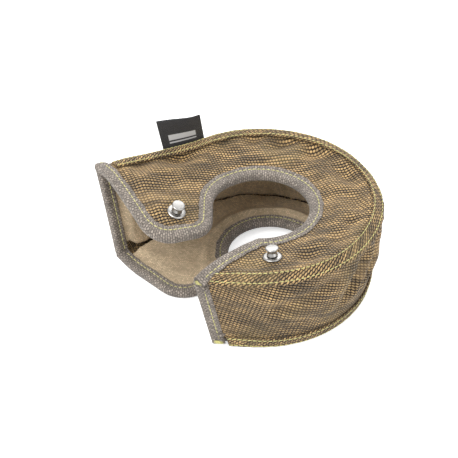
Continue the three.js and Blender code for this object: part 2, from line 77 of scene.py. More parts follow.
# Standing shape, in millimetres
RING_HEIGHT = 64.0
LEG_RISE = 15.0
LEG_DROOP = 22.0
FRONT_DROP = 4.0
HOLE_SAG = 9.0
SAG_REACH = 42.0
LOWER_LIFT = 7.0
LOWER_FLAT = 14.0
CURL_FROM = -45.0
CURL_TO = 10.0
BACK_SHOULDER = 2.0
FRONT_SHOULDER = 4.5
SHOULDER_WIDTH = 8.5
END_SHOULDER_WIDTH = 19.0
WALL_BULGE = 2.5
BULGE_REACH = 50.0

# Layers, in millimetres
CLOTH = 1.0
LINER = 0.7
MATT = 4.4
MATT_EDGE = 0.6
CLEARANCE = 0.5
PRESSED = 9.5
PUFFED = 14.5
STRIP = 10.5
EDGE_THICK = CLOTH + MATT_EDGE + LINER + 2 * CLEARANCE
FLOOR_GAP = 2.1

BINDING_WIDTH = 7.4
STITCH_INSET = 4.3  # of the binding's one row, from the cloth's edge
WELT_WIDTH = 8.0
WELT_THICK = 1.8
WELT_LIFT = 0.5
WELT_MARGIN = 7.7
WELT_BACK = 4.5
WELT_FRONT = -3.5
WELT_SHIFT = (0.4, 0.64)

LEG_COLUMNS = 12
RING_COLUMNS = 28
COLUMNS = LEG_COLUMNS + RING_COLUMNS
STRIP_COLUMNS = 3


def srgb(red, green, blue):
    """A colour given as 0 to 255 in sRGB, as Blender's linear one."""
    return tuple(c / 12.92 if c <= 0.04045 else ((c + 0.055) / 1.055) ** 2.4 for c in (red / 255, green / 255, blue / 255))


class BlanketSizes(bpy.types.PropertyGroup):
    """Sizes of the cloth's detail."""

    yarn_pitch: bpy.props.FloatProperty(
        name="Yarn pitch", description="Distance between rows of the twill", default=0.0020, unit="LENGTH"
    )
    float_length: bpy.props.FloatProperty(
        name="Float length", description="Length of one yarn float", default=0.0021, unit="LENGTH"
    )
    rib_pitch: bpy.props.FloatProperty(
        name="Rib pitch", description="Distance between ribs of the knitted binding", default=0.0015, unit="LENGTH"
    )
    stitch_length: bpy.props.FloatProperty(
        name="Stitch length", description="From one needle hole to the next", default=0.0032, unit="LENGTH"
    )
    thread_radius: bpy.props.FloatProperty(
        name="Thread radius", description="Half the thickness of the sewing thread", default=0.00028, unit="LENGTH"
    )
    pucker: bpy.props.FloatProperty(
        name="Pucker", description="Depth of the puckers beside a seam", default=0.0028, unit="LENGTH"
    )


class BlanketColours(bpy.types.PropertyGroup):
    """Colours of the finishes."""

    yarn: bpy.props.FloatVectorProperty(
        name="Yarn", description="Raised yarn of the twill", size=3, subtype="COLOR", default=srgb(200, 165, 110)
    )
    # Gap colour: painted shade laid into the hollows between the twill's yarns.
    gap: bpy.props.FloatVectorProperty(
        name="Gap", description="Hollows between the yarns", size=3, subtype="COLOR", default=srgb(44, 32, 18)
    )
    lining: bpy.props.FloatVectorProperty(
        name="Lining", description="Silica lining cloth", size=3, subtype="COLOR", default=srgb(212, 190, 157)
    )
    binding: bpy.props.FloatVectorProperty(
        name="Binding", description="Knitted edge binding", size=3, subtype="COLOR", default=srgb(160, 149, 138)
    )
    thread: bpy.props.FloatVectorProperty(
        name="Thread", description="Sewing thread", size=3, subtype="COLOR", default=srgb(220, 214, 142)
    )
    satin: bpy.props.FloatVectorProperty(
        name="Satin", description="Woven tag", size=3, subtype="COLOR", default=srgb(34, 34, 36)
    )
    mark: bpy.props.FloatVectorProperty(
        name="Mark", description="Plain stripes on the tag", size=3, subtype="COLOR", default=srgb(205, 205, 205)
    )
    batting: bpy.props.FloatVectorProperty(
        name="Batting", description="Needle mat between the cloths", size=3, subtype="COLOR", default=srgb(216, 210, 196)
    )
    steel: bpy.props.FloatVectorProperty(
        name="Steel", description="Stainless anchors", size=3, subtype="COLOR", default=srgb(172, 170, 167)
    )


class StudioSettings(bpy.types.PropertyGroup):
    """Camera and light."""

    tilt: bpy.props.FloatProperty(
        name="Tilt", description="Height of the camera over the floor", default=math.radians(41), subtype="ANGLE"
    )
    distance: bpy.props.FloatProperty(name="Distance", description="Camera to target", default=0.7, unit="LENGTH")
    lens: bpy.props.FloatProperty(name="Lens", description="Focal length in millimetres", default=76.48)
    key: bpy.props.FloatProperty(name="Key", description="Power of the key light in watts", default=9.0)
    world: bpy.props.FloatProperty(name="World", description="Strength of the even light", default=0.62)


def smoothstep(x, low, high):
    share = np.clip((x - low) / (high - low), 0, 1)
    return share * share * (3 - 2 * share)


def mix(a, b, share):
    return a + (b - a) * share


def polar(radius, angle, x=0.0, y=0.0):
    return np.array([x + radius * math.cos(math.radians(angle)), y + radius * math.sin(math.radians(angle))])


def arc(x, y, radius, start, end, steps=80):
    """Points on an arc, its angles in radians."""
    turn = np.linspace(start, end, steps)
    return np.stack([x + radius * np.cos(turn), y + radius * np.sin(turn)], axis=1)


def unit(vector):
    return vector / np.linalg.norm(vector)


class Route:
    """A line in plan or in space that is asked by share of its length."""

    def __init__(self, *stretches):
        points = np.concatenate(stretches)
        steps = np.linalg.norm(np.diff(points, axis=0), axis=1)
        kept = np.concatenate([[True], steps > 1e-6])
        self.points = points[kept]
        self.reach = np.concatenate([[0], np.cumsum(np.linalg.norm(np.diff(self.points, axis=0), axis=1))])
        self.length = self.reach[-1]

    def at(self, share):
        place = np.clip(share, 0, 1) * self.length
        return np.stack([np.interp(place, self.reach, axis) for axis in self.points.T], axis=-1)


def rounded(corners, radii):
    """Straight runs with an arc at each inner corner, as points."""
    stretches = [corners[0][None]]
    for before, corner, after, radius in zip(corners, corners[1:], corners[2:], radii):
        back, on = unit(before - corner), unit(after - corner)
        half = math.acos(float(back @ on)) / 2
        middle = corner + unit(back + on) * radius / math.sin(half)
        start = corner + back * radius / math.tan(half) - middle
        end = corner + on * radius / math.tan(half) - middle
        first = math.atan2(start[1], start[0])
        turn = math.atan2(start[0] * end[1] - start[1] * end[0], float(start @ end))
        stretches.append(arc(middle[0], middle[1], radius, first, first + turn, 24))
    return np.concatenate([*stretches, corners[-1][None]])


class Panel:
    """One C-shaped panel: its long edges, its ends and its bound edge."""

    def __init__(self, cut):
        self.__dict__.update(cut)
        self.tangent = polar(self.ring_radius, self.leg_angle)
        self.leg_run = polar(1, self.leg_angle + 90)
        self.leg_in = polar(-1, self.leg_angle)
        self.leg_end = self.tangent + self.leg_run * self.leg_length
        free_corner = self.leg_end + self.leg_in * self.leg_width
        inner_corner = polar(self.inner_corner_radius, self.inner_corner_angle, self.hole_x, self.hole_y)
        hole_left = polar(self.hole_radius, 180, self.hole_x, self.hole_y)
        self.leave = polar(self.ring_radius, self.front_angle)
        self.front_end = self.leave + polar(-1, self.front_angle + 90) * self.front_run
        tip = polar(self.tip_radius, self.tip_angle, self.hole_x, self.hole_y)
        hole_end = polar(self.hole_radius, self.hole_end_angle, self.hole_x, self.hole_y)
        to_inner = unit(inner_corner - free_corner)
        half = math.acos(float(-self.leg_in @ to_inner)) / 2
        leg_start = free_corner - self.leg_in * self.leg_corner / math.tan(half)
        inner_round = rounded(
            [leg_start, free_corner, inner_corner, hole_left], [self.leg_corner - 0.01, self.inner_corner_round]
        )
        front_start = tip + unit(self.front_end - tip) * self.tip_round
        hole = arc(self.hole_x, self.hole_y, self.hole_radius, math.pi, math.radians(self.hole_end_angle), 120)
        ring = arc(0, 0, self.ring_radius, math.radians(self.leg_angle), math.radians(self.front_angle), 200)
        self.leg_outer = Route(np.array([self.leg_end, self.tangent]))
        self.leg_inner = Route(inner_round)
        self.ring_inner = Route(hole, rounded([hole_end, tip, front_start], [self.tip_round]))
        self.ring_outer = Route(ring, self.front_end[None])
        self.seam_length = self.leg_length + self.ring_outer.length
        self.bound_route = Route(
            self.leg_end[None], inner_round, self.ring_inner.points, self.front_end[None]
        )
        self.bound = self.bound_route.at(np.linspace(0, 1, 400))

    def share(self, count, total, strip, route):
        pressed = strip / route.length
        beyond = mix(pressed, 1, (count - STRIP_COLUMNS) / (total - STRIP_COLUMNS))
        return np.where(count < STRIP_COLUMNS, pressed * count / STRIP_COLUMNS, beyond)

    def edges(self, column):
        """Points on the outer and inner edge at an array of columns."""
        column = np.asarray(column, float)
        on_leg = (column <= LEG_COLUMNS)[..., None]
        pair = []
        for leg, ring, leg_extra, ring_extra in (
            (self.leg_outer, self.ring_outer, 0, 0),
            (self.leg_inner, self.ring_inner, self.leg_corner / 2, self.tip_round / 2),
        ):
            leg_share = self.share(column, LEG_COLUMNS, STRIP + leg_extra, leg)
            ring_share = 1 - self.share(COLUMNS - column, RING_COLUMNS, STRIP + ring_extra, ring)
            pair.append(np.where(on_leg, leg.at(leg_share), ring.at(ring_share)))
        return pair

    def station(self, column):
        outer, inner = self.edges(column)
        across = inner - outer
        width = np.linalg.norm(across, axis=-1)
        return outer, across / width[..., None], width

    def column_at(self, distance):
        """The column at a distance along the seam from the leg's end."""
        on_leg = mix(STRIP_COLUMNS, LEG_COLUMNS, (distance - STRIP) / (self.leg_length - STRIP))
        from_front = self.seam_length - distance
        on_ring = mix(STRIP_COLUMNS, RING_COLUMNS, (from_front - STRIP) / (self.ring_outer.length - STRIP))
        return np.where(distance <= self.leg_length, on_leg, COLUMNS - on_ring)

    def bound_distance(self, points):
        flat = points.reshape(-1, 2)
        nearest = np.empty(len(flat))
        for start in range(0, len(flat), 4000):
            block = flat[start : start + 4000]
            nearest[start : start + 4000] = np.sqrt(((block[:, None] - self.bound[None]) ** 2).sum(-1).min(1))
        return nearest.reshape(points.shape[:-1])

    def depth(self, points):
        on_leg = points - self.tangent
        on_front = points - self.leave
        run = unit(self.front_end - self.leave)
        ring = self.ring_radius - np.linalg.norm(points, axis=-1)
        front = np.where((on_front @ run > 0) & (points[..., 1] < 0), -(on_front @ polar(1, self.front_angle)), ring)
        return np.where(leg_side(points) & (on_leg @ self.leg_run > 0), on_leg @ self.leg_in, front)

    def shoulder(self, points):
        drop = mix(BACK_SHOULDER, FRONT_SHOULDER, smoothstep(-points[..., 1], -UPPER_CUT["ring_radius"], 0))
        free = smoothstep(self.bound_distance(points), 0, 2 * PRESSED)
        reach = mix(END_SHOULDER_WIDTH, SHOULDER_WIDTH, free)
        share = np.clip(1 - self.depth(points) / reach, 0, None)
        return drop * np.where(share < 1, share**1.5, share)

    def beyond_hole(self, points):
        away = np.hypot(points[..., 0] - self.hole_x, points[..., 1] - self.hole_y)
        return np.clip(away - self.hole_radius, 0, None)

    def matt(self, points):
        return mix(MATT_EDGE, MATT, smoothstep(self.bound_distance(points), PRESSED, PUFFED))


def leg_side(points):
    gap = polar(1, GAP_ANGLE)
    return gap[0] * points[..., 1] - gap[1] * points[..., 0] < 0


upper = Panel(UPPER_CUT)
lower = Panel(LOWER_CUT)


def upper_face(points):
    """Height of the blanket's upper face over plan points."""
    along = (points - upper.tangent) @ upper.leg_run / upper.leg_length
    share = np.where(leg_side(points), np.clip(along, 0, None), 0)
    rise = LEG_RISE * share**1.3
    droop = LEG_DROOP * share**2 * np.clip(upper.depth(points) / upper.leg_width, 0, None) ** 1.6
    forward = smoothstep(-points[..., 1], 20, upper.ring_radius) * smoothstep(-points[..., 0], -30, 40)
    sag = HOLE_SAG * np.clip(1 - upper.beyond_hole(points) / SAG_REACH, 0, None) ** 1.2
    return RING_HEIGHT + rise - droop - FRONT_DROP * forward - sag - upper.shoulder(points)


def lower_face(points):
    """Height of its lower face."""
    edge_lift = FLOOR_GAP * (1 - smoothstep(lower.bound_distance(points), PRESSED, PUFFED))
    flat_from = lower.ring_radius - LOWER_FLAT - lower.hole_radius - lower.hole_x
    back = smoothstep(points[..., 1], CURL_FROM, CURL_TO)
    curl = LOWER_LIFT * back * (1 - smoothstep(lower.beyond_hole(points), PRESSED, flat_from))
    return np.maximum(edge_lift, curl) + lower.shoulder(points)


def band_plan(column, share, depth):
    """Plan of the side band at columns, shares of its height and depths from its outside."""
    low_outer, low_in, _ = lower.station(column)
    top_outer, top_in, _ = upper.station(column)
    free = smoothstep(upper.bound_distance(top_outer), PRESSED, BULGE_REACH)
    bulge = WALL_BULGE * free * 4 * share * (1 - share)
    share = np.asarray(share, float)[..., None]
    inward = mix(low_in, top_in, share)
    return mix(low_outer, top_outer, share) + inward * (depth - bulge)[..., None]


def band_point(column, share, depth):
    plan = band_plan(column, share, depth)
    return np.concatenate([plan, mix(lower_face(plan), upper_face(plan), share)[..., None]], axis=-1)


def ripple(points, spacing, seed):
    """Smooth random waves over plan points, from about -1 to 1."""
    draw = np.random.default_rng(seed)
    total = np.zeros(points.shape[:-1])
    for _ in range(7):
        way = polar(2 * math.pi / (spacing * draw.uniform(0.7, 1.5)), draw.uniform(0, 360))
        total += np.sin(points @ way + draw.uniform(0, 2 * math.pi))
    return total / 3.2


def dent(points, x, y, radius, depth, stretch=1.0, angle=0.0):
    """A soft dent of an elliptical outline."""
    along = (points - np.array([x, y])) @ polar(1, angle) / (radius * stretch)
    across = (points - np.array([x, y])) @ polar(1, angle + 90) / radius
    return -depth * np.exp(-(along**2) - across**2)


def to_frame(points):
    """Millimetres round the ring's middle to metres in the frame."""
    moved = np.asarray(points, float).reshape(-1, 3) + np.array([*RING_MIDDLE, 0])
    return moved * MM


def make_piece(name, points, faces, material, slot, replaced=(), uv=None):
    """A mesh object that rides on the blanket."""
    mesh = bpy.data.meshes.new(name)
    mesh.from_pydata(to_frame(points).tolist(), [], faces)
    mesh.update()
    mesh.polygons.foreach_set("use_smooth", [True] * len(mesh.polygons))
    if uv is not None:
        layer = mesh.uv_layers.new(name="cloth")
        corners = np.empty(len(mesh.loops), dtype=np.int32)
        mesh.loops.foreach_get("vertex_index", corners)
        layer.data.foreach_set("uv", (np.asarray(uv, float).reshape(-1, 2)[corners] * MM).ravel())
    mesh.materials.append(material)
    obj = bpy.data.objects.new(name, mesh)
    bpy.context.scene.collection.objects.link(obj)
    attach(obj, "root")
    if replaced:
        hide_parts(*replaced)
    return obj


def normals(grid):
    """Unit normals of a grid of points."""
    along = np.gradient(grid, axis=0)
    across = np.gradient(grid, axis=1)
    cross = np.cross(along, across)
    return cross / np.maximum(np.linalg.norm(cross, axis=-1, keepdims=True), 1e-9)


def slab(outside, inside):
    """A closed skin round two grids of points: all points and the faces."""
    rows, across = outside.shape[:2]
    count = rows * across
    index = np.arange(count).reshape(rows, across)
    quads = np.stack([index[:-1, :-1], index[1:, :-1], index[1:, 1:], index[:-1, 1:]], axis=-1).reshape(-1, 4)
    faces = [quads, quads[:, ::-1] + count]
    rim = np.concatenate([index[:, 0], index[-1, 1:], index[-2::-1, -1], index[0, -2:0:-1]])
    after = np.roll(rim, -1)
    faces.append(np.stack([after, rim, rim + count, after + count], axis=-1))
    points = np.concatenate([outside.reshape(-1, 3), inside.reshape(-1, 3)])
    return points, np.concatenate(faces).tolist()


def cloth_slab(name, grid, uv, thick, up, material, slot, replaced):
    """A cloth of even thickness under or inside a grid of points."""
    way = normals(grid)
    if up * way[way.shape[0] // 2, way.shape[1] // 2, 2] < 0:
        grid, uv = grid[::-1], uv[::-1]
        way = normals(grid)
    points, faces = slab(grid, grid - way * thick)
    return make_piece(name, points, faces, material, slot, replaced, np.concatenate([uv.reshape(-1, 2)] * 2))


def fine_columns():
    """Columns for the fine cloths, closer in the strips at both ends."""
    return np.concatenate([
        np.linspace(0, STRIP_COLUMNS, 9)[:-1],
        np.linspace(STRIP_COLUMNS, LEG_COLUMNS, 46)[:-1],
        np.linspace(LEG_COLUMNS, COLUMNS - STRIP_COLUMNS, 221)[:-1],
        np.linspace(COLUMNS - STRIP_COLUMNS, COLUMNS, 9),
    ])


def panel_grid(panel, rows, start):
    """Plan points over a panel, from its rim inwards, with the columns and depths."""
    column = fine_columns()
    outer, inward, width = panel.station(column)
    share = np.linspace(0, 1, rows) ** 1.35
    depth = start + (width[:, None] - start) * share[None]
    plan = outer[:, None] + inward[:, None] * depth[..., None]
    return plan, np.broadcast_to(column[:, None], depth.shape), depth, width


def seam_run(column):
    """Distance along the upper seam at columns."""
    outer = upper.edges(column)[0]
    return np.concatenate([[0], np.cumsum(np.linalg.norm(np.diff(outer, axis=0), axis=1))])


def weave_plan(plan):
    """The weave's own coordinates on a panel: rows run across, and swing up along the leg."""
    leg = smoothstep(-plan[..., 0], 5, 60)
    swing = 0.36 * leg * (plan[..., 0] + 32)
    wave = 0.8 * ripple(plan, 60, SEED + 3)
    return np.stack([plan[..., 0], plan[..., 1] - swing - 0.06 * plan[..., 0] + wave], axis=-1)


def new_group(name, inputs, outputs):
    """A shader node group with named sockets."""
    group = bpy.data.node_groups.new(name, "ShaderNodeTree")
    for label, kind, default in inputs:
        socket = group.interface.new_socket(name=label, in_out="INPUT", socket_type=kind)
        socket.default_value = default
    for label, kind in outputs:
        group.interface.new_socket(name=label, in_out="OUTPUT", socket_type=kind)
    return group, group.nodes.new("NodeGroupInput"), group.nodes.new("NodeGroupOutput")


def calc(tree, operation, *values, clamp=False):
    """A Math node's result, from sockets and numbers."""
    node = tree.nodes.new("ShaderNodeMath")
    node.operation = operation
    node.use_clamp = clamp
    for socket, value in zip(node.inputs, values):
        if isinstance(value, bpy.types.NodeSocket):
            tree.links.new(value, socket)
        else:
            socket.default_value = value
    return node.outputs[0]


def blend_colour(tree, factor, first, second, kind="MIX"):
    """A colour Mix node's result."""
    node = tree.nodes.new("ShaderNodeMix")
    node.data_type = "RGBA"
    node.blend_type = kind
    for socket, value in ((node.inputs[0], factor), (node.inputs[6], first), (node.inputs[7], second)):
        if isinstance(value, bpy.types.NodeSocket):
            tree.links.new(value, socket)
        elif isinstance(value, (int, float)):
            socket.default_value = value
        else:
            socket.default_value = (*value, 1)
    return node.outputs[2]


def pair(tree, x, y, z=0.0):
    node = tree.nodes.new("ShaderNodeCombineXYZ")
    for socket, value in zip(node.inputs, (x, y, z)):
        if isinstance(value, bpy.types.NodeSocket):
            tree.links.new(value, socket)
        else:
            socket.default_value = value
    return node.outputs[0]


def noise(tree, vector, scale, detail=3.0, roughness=0.55):
    node = tree.nodes.new("ShaderNodeTexNoise")
    node.inputs["Scale"].default_value = scale
    node.inputs["Detail"].default_value = detail
    node.inputs["Roughness"].default_value = roughness
    tree.links.new(vector, node.inputs["Vector"])
    return node.outputs["Fac"]


def remap(tree, value, low, high, to_low, to_high):
    node = tree.nodes.new("ShaderNodeMapRange")
    node.interpolation_type = "SMOOTHSTEP"
    for socket, number in zip(node.inputs[1:5], (low, high, to_low, to_high)):
        socket.default_value = number
    tree.links.new(value, node.inputs[0])
    return node.outputs[0]


def weave_group():
    """Rows of raised yarn floats, each row shifted against the last. The colour fades from the yarn colour at each
    float's crown to painted shade down its flanks and in the hollows between the yarns.
    """
    name = "Yarn Weave"
    if name in bpy.data.node_groups:
        return bpy.data.node_groups[name]
    group, take, give = new_group(
        name,
        [
            ("Along", "NodeSocketFloat", 0.0),
            ("Across", "NodeSocketFloat", 0.0),
            ("Length", "NodeSocketFloat", 0.002),
            ("Pitch", "NodeSocketFloat", 0.002),
            ("Shift", "NodeSocketFloat", 0.4),
            ("Fullness", "NodeSocketFloat", 0.43),
            ("Yarn", "NodeSocketColor", (0.5, 0.4, 0.3, 1)),
            ("Gap", "NodeSocketColor", (0.05, 0.04, 0.03, 1)),
        ],
        [("Color", "NodeSocketColor"), ("Height", "NodeSocketFloat"), ("Yarn Mask", "NodeSocketFloat")],
    )
    ask = take.outputs
    row_place = calc(group, "DIVIDE", ask["Across"], ask["Pitch"])
    row = calc(group, "FLOOR", row_place)
    row_share = calc(group, "SUBTRACT", calc(group, "FRACT", row_place), 0.5)
    float_place = calc(
        group, "MULTIPLY_ADD", row, ask["Shift"], calc(group, "DIVIDE", ask["Along"], ask["Length"])
    )
    column = calc(group, "FLOOR", float_place)
    float_share = calc(group, "SUBTRACT", calc(group, "FRACT", float_place), 0.5)
    along = calc(group, "POWER", calc(group, "ABSOLUTE", calc(group, "DIVIDE", float_share, 0.47)), 2.4)
    across = calc(group, "POWER", calc(group, "ABSOLUTE", calc(group, "DIVIDE", row_share, ask["Fullness"])), 2.2)
    body = calc(group, "SUBTRACT", 1.0, calc(group, "ADD", along, across), clamp=True)
    height = calc(group, "SQRT", body)
    random = group.nodes.new("ShaderNodeTexWhiteNoise")
    random.noise_dimensions = "2D"
    group.links.new(pair(group, column, row), random.inputs["Vector"])
    uneven = remap(group, random.outputs["Value"], 0.0, 1.0, 0.72, 1.18)
    yarn = blend_colour(group, 1.0, ask["Yarn"], (0, 0, 0), "MIX")
    yarn_node = yarn.node
    group.links.new(ask["Yarn"], yarn_node.inputs[6])
    yarn_node.blend_type = "MULTIPLY"
    group.links.new(uneven, yarn_node.inputs[7])
    # Painted shade: this mask, taken from the yarn's height, mixes the gap colour into the hollows between the yarns
    # and onto the floats' flanks.
    mask = remap(group, height, 0.15, 0.85, 0.0, 1.0)
    colour = blend_colour(group, mask, ask["Gap"], yarn)
    group.links.new(colour, give.inputs["Color"])
    group.links.new(height, give.inputs["Height"])
    group.links.new(mask, give.inputs["Yarn Mask"])
    return group


def soil_group():
    """Large and small stains, as a factor near 1."""
    name = "Soft Stains"
    if name in bpy.data.node_groups:
        return bpy.data.node_groups[name]
    group, take, give = new_group(
        name,
        [
            ("Vector", "NodeSocketVector", (0.0, 0.0, 0.0)),
            ("Size", "NodeSocketFloat", 0.03),
            ("Depth", "NodeSocketFloat", 0.2),
        ],
        [("Factor", "NodeSocketFloat")],
    )
    scaled = group.nodes.new("ShaderNodeVectorMath")
    scaled.operation = "SCALE"
    group.links.new(take.outputs["Vector"], scaled.inputs[0])
    group.links.new(calc(group, "DIVIDE", 1.0, take.outputs["Size"]), scaled.inputs["Scale"])
    cloud = noise(group, scaled.outputs[0], 1.0, 4.0, 0.6)
    dark = calc(group, "MULTIPLY", remap(group, cloud, 0.35, 0.7, 0.0, 1.0), take.outputs["Depth"])
    group.links.new(calc(group, "SUBTRACT", 1.0, dark), give.inputs["Factor"])
    return group


def new_material(name):
    """A material with its Principled shader and its tree."""
    material = bpy.data.materials.new(name)
    material.use_nodes = True
    tree = material.node_tree
    shader = tree.nodes["Principled BSDF"]
    return material, tree, shader


def place_group(tree, group, **values):
    node = tree.nodes.new("ShaderNodeGroup")
    node.node_tree = group
    for label, value in values.items():
        socket = node.inputs[label.replace("_", " ")]
        if isinstance(value, bpy.types.NodeSocket):
            tree.links.new(value, socket)
        elif hasattr(value, "__len__") and len(value) == 3 and socket.type == "RGBA":
            socket.default_value = (*value, 1)
        else:
            socket.default_value = value
    return node


def bump(tree, shader, height, distance, strength=1.0):
    node = tree.nodes.new("ShaderNodeBump")
    node.inputs["Distance"].default_value = distance
    node.inputs["Strength"].default_value = strength
    tree.links.new(height, node.inputs["Height"])
    tree.links.new(node.outputs[0], shader.inputs["Normal"])


def cloth_place(tree):
    """The cloth's own coordinates in metres, as two sockets and a vector."""
    source = tree.nodes.new("ShaderNodeUVMap")
    source.uv_map = "cloth"
    split = tree.nodes.new("ShaderNodeSeparateXYZ")
    tree.links.new(source.outputs[0], split.inputs[0])
    return split.outputs[0], split.outputs[1], source.outputs[0]


def solid_place(tree):
    return tree.nodes.new("ShaderNodeTexCoord").outputs["Object"]


def twill_material(name, skew, smooth):
    """Golden basalt twill: skew is the climb of its rows, smooth how far bands of painted sheen blur it to a plain tan.
    """
    sizes, colours = bpy.context.scene.blanket_sizes, bpy.context.scene.blanket_colours
    material, tree, shader = new_material(name)
    along, across, _ = cloth_place(tree)
    climbed = calc(tree, "MULTIPLY_ADD", along, skew, across)
    where = solid_place(tree)
    wander = calc(tree, "MULTIPLY", calc(tree, "SUBTRACT", noise(tree, where, 28.0, 2.0), 0.5), 0.0022)
    weave = place_group(
        tree, weave_group(), Along=along, Across=calc(tree, "ADD", climbed, wander),
        Length=sizes.float_length, Pitch=sizes.yarn_pitch, Shift=0.38, Fullness=0.38,
        Yarn=colours.yarn, Gap=colours.gap,
    )
    stains = place_group(tree, soil_group(), Vector=where, Size=0.030, Depth=0.38)
    # Painted sheen: streaks stretched along the rows brighten and darken the cloth from 0.5 to 1.3 in place of the
    # rows' glossy bands. The level below carries these together with the real stains.
    sheen_streak_at = pair(tree, calc(tree, "MULTIPLY", along, 34.0), calc(tree, "MULTIPLY", climbed, 190.0))
    sheen_streak = remap(tree, noise(tree, sheen_streak_at, 1.0, 2.0), 0.32, 0.66, 0.5, 1.3)
    level = calc(tree, "MULTIPLY", stains.outputs["Factor"], sheen_streak)
    # Painted sheen: noise bands blur the weave into a plain light tan where the folds would catch the light.
    band_at = pair(tree, calc(tree, "MULTIPLY", along, 13.0), calc(tree, "MULTIPLY", climbed, 60.0))
    band = remap(tree, noise(tree, band_at, 1.0, 1.0), 0.44, 0.66, 0.0, smooth)
    # Painted shade: patches turn the cloth a dull, flat, darker olive where the folds would face away from the light.
    dull_shade_patch = remap(tree, noise(tree, where, 24.0, 1.0), 0.5, 0.66, 0.0, 0.8)
    plain = blend_colour(tree, dull_shade_patch, srgb(176, 148, 108), srgb(112, 100, 66))
    blur = calc(tree, "MAXIMUM", band, calc(tree, "MULTIPLY", dull_shade_patch, 0.45))
    woven = blend_colour(tree, blur, weave.outputs["Color"], plain)
    colour = blend_colour(tree, 1.0, woven, (1, 1, 1), "MULTIPLY")
    tree.links.new(level, colour.node.inputs[7])
    tree.links.new(colour, shader.inputs["Base Color"])
    rough = remap(tree, weave.outputs["Yarn Mask"], 0.0, 1.0, 0.85, 0.5)
    tree.links.new(rough, shader.inputs["Roughness"])
    shader.inputs["Sheen Weight"].default_value = 0.12
    shader.inputs["Sheen Roughness"].default_value = 0.4
    bump(tree, shader, weave.outputs["Height"], 0.0007)
    return material


def lining_material():
    """Tan lining cloth with soft stains and a fine weave, whose yarn hollows carry painted shade."""
    colours = bpy.context.scene.blanket_colours
    material, tree, shader = new_material("Silica_lining")
    along, across, _ = cloth_place(tree)
    where = solid_place(tree)
    # Painted shade: the gap colour, the lining colour darkened to 0.72, lies in the hollows between its yarns.
    weave = place_group(
        tree, weave_group(), Along=along, Across=across, Length=0.0013, Pitch=0.0011, Shift=0.5,
        Yarn=colours.lining, Gap=tuple(c * 0.72 for c in colours.lining),
    )
    stains = place_group(tree, soil_group(), Vector=where, Size=0.022, Depth=0.22)
    colour = blend_colour(tree, 1.0, weave.outputs["Color"], (1, 1, 1), "MULTIPLY")
    tree.links.new(stains.outputs["Factor"], colour.node.inputs[7])
    tree.links.new(colour, shader.inputs["Base Color"])
    shader.inputs["Roughness"].default_value = 0.85
    shader.inputs["Sheen Weight"].default_value = 0.1
    bump(tree, shader, weave.outputs["Height"], 0.00018)
    return material


def binding_material():
    """Grey-brown knitted tape with ribs across it, painted lighter on the ribs' crowns and with painted shade between
    them.
    """
    sizes, colours = bpy.context.scene.blanket_sizes, bpy.context.scene.blanket_colours
    material, tree, shader = new_material("Knitted_binding")
    along, across, _ = cloth_place(tree)
    where = solid_place(tree)
    # Lit and shaded copies of the binding colour: the light one is painted light on the ribs' crowns, the dark one
    # painted shade between the ribs.
    light = tuple(c * 1.12 for c in colours.binding)
    dark = tuple(c * 0.46 for c in colours.binding)
    ribs = place_group(
        tree, weave_group(), Along=across, Across=along, Length=0.0023, Pitch=sizes.rib_pitch, Shift=0.5,
        Yarn=light, Gap=dark,
    )
    speckle = remap(tree, noise(tree, where, 900.0, 2.0), 0.32, 0.7, 0.62, 1.12)
    stains = place_group(tree, soil_group(), Vector=where, Size=0.02, Depth=0.2)
    colour = blend_colour(tree, 1.0, ribs.outputs["Color"], (1, 1, 1), "MULTIPLY")
    tree.links.new(calc(tree, "MULTIPLY", speckle, stains.outputs["Factor"]), colour.node.inputs[7])
    tree.links.new(colour, shader.inputs["Base Color"])
    shader.inputs["Roughness"].default_value = 0.9
    shader.inputs["Sheen Weight"].default_value = 0.15
    bump(tree, shader, ribs.outputs["Height"], 0.0004)
    return material


def thread_material():
    """Yellow aramid thread with a fine twist."""
    colours = bpy.context.scene.blanket_colours
    material, tree, shader = new_material("Aramid_thread")
    where = solid_place(tree)
    twist = remap(tree, noise(tree, where, 1400.0, 2.0), 0.3, 0.7, 0.7, 1.1)
    colour = blend_colour(tree, 1.0, tuple(colours.thread), (1, 1, 1), "MULTIPLY")
    tree.links.new(twist, colour.node.inputs[7])
    tree.links.new(colour, shader.inputs["Base Color"])
    shader.inputs["Roughness"].default_value = 0.6
    bump(tree, shader, twist, 0.0001)
    return material


def satin_material():
    """Black woven satin with two plain pale stripes; its yarns are lit and shaded copies of the satin colour, with
    painted shade between them.
    """
    colours = bpy.context.scene.blanket_colours
    material, tree, shader = new_material("Tag_satin")
    along, across, _ = cloth_place(tree)
    # Painted light and shade: the yarn crowns take the satin colour raised by 1.5, the hollows between them the satin
    # colour darkened to 0.6.
    weave = place_group(
        tree, weave_group(), Along=along, Across=across, Length=0.0008, Pitch=0.0004, Shift=0.5,
        Yarn=tuple(c * 1.5 for c in colours.satin), Gap=tuple(c * 0.6 for c in colours.satin),
    )
    inside = calc(tree, "MULTIPLY", calc(tree, "GREATER_THAN", along, 0.006), calc(tree, "LESS_THAN", along, 0.028))
    wide = calc(tree, "LESS_THAN", calc(tree, "ABSOLUTE", calc(tree, "SUBTRACT", across, 0.0093)), 0.0022)
    thin = calc(tree, "LESS_THAN", calc(tree, "ABSOLUTE", calc(tree, "SUBTRACT", across, 0.0052)), 0.0006)
    stripes = calc(tree, "MULTIPLY", inside, calc(tree, "ADD", wide, thin))
    colour = blend_colour(tree, stripes, weave.outputs["Color"], tuple(colours.mark))
    tree.links.new(colour, shader.inputs["Base Color"])
    shader.inputs["Roughness"].default_value = 0.42
    shader.inputs["Sheen Weight"].default_value = 0.2
    bump(tree, shader, weave.outputs["Height"], 0.00008)
    return material


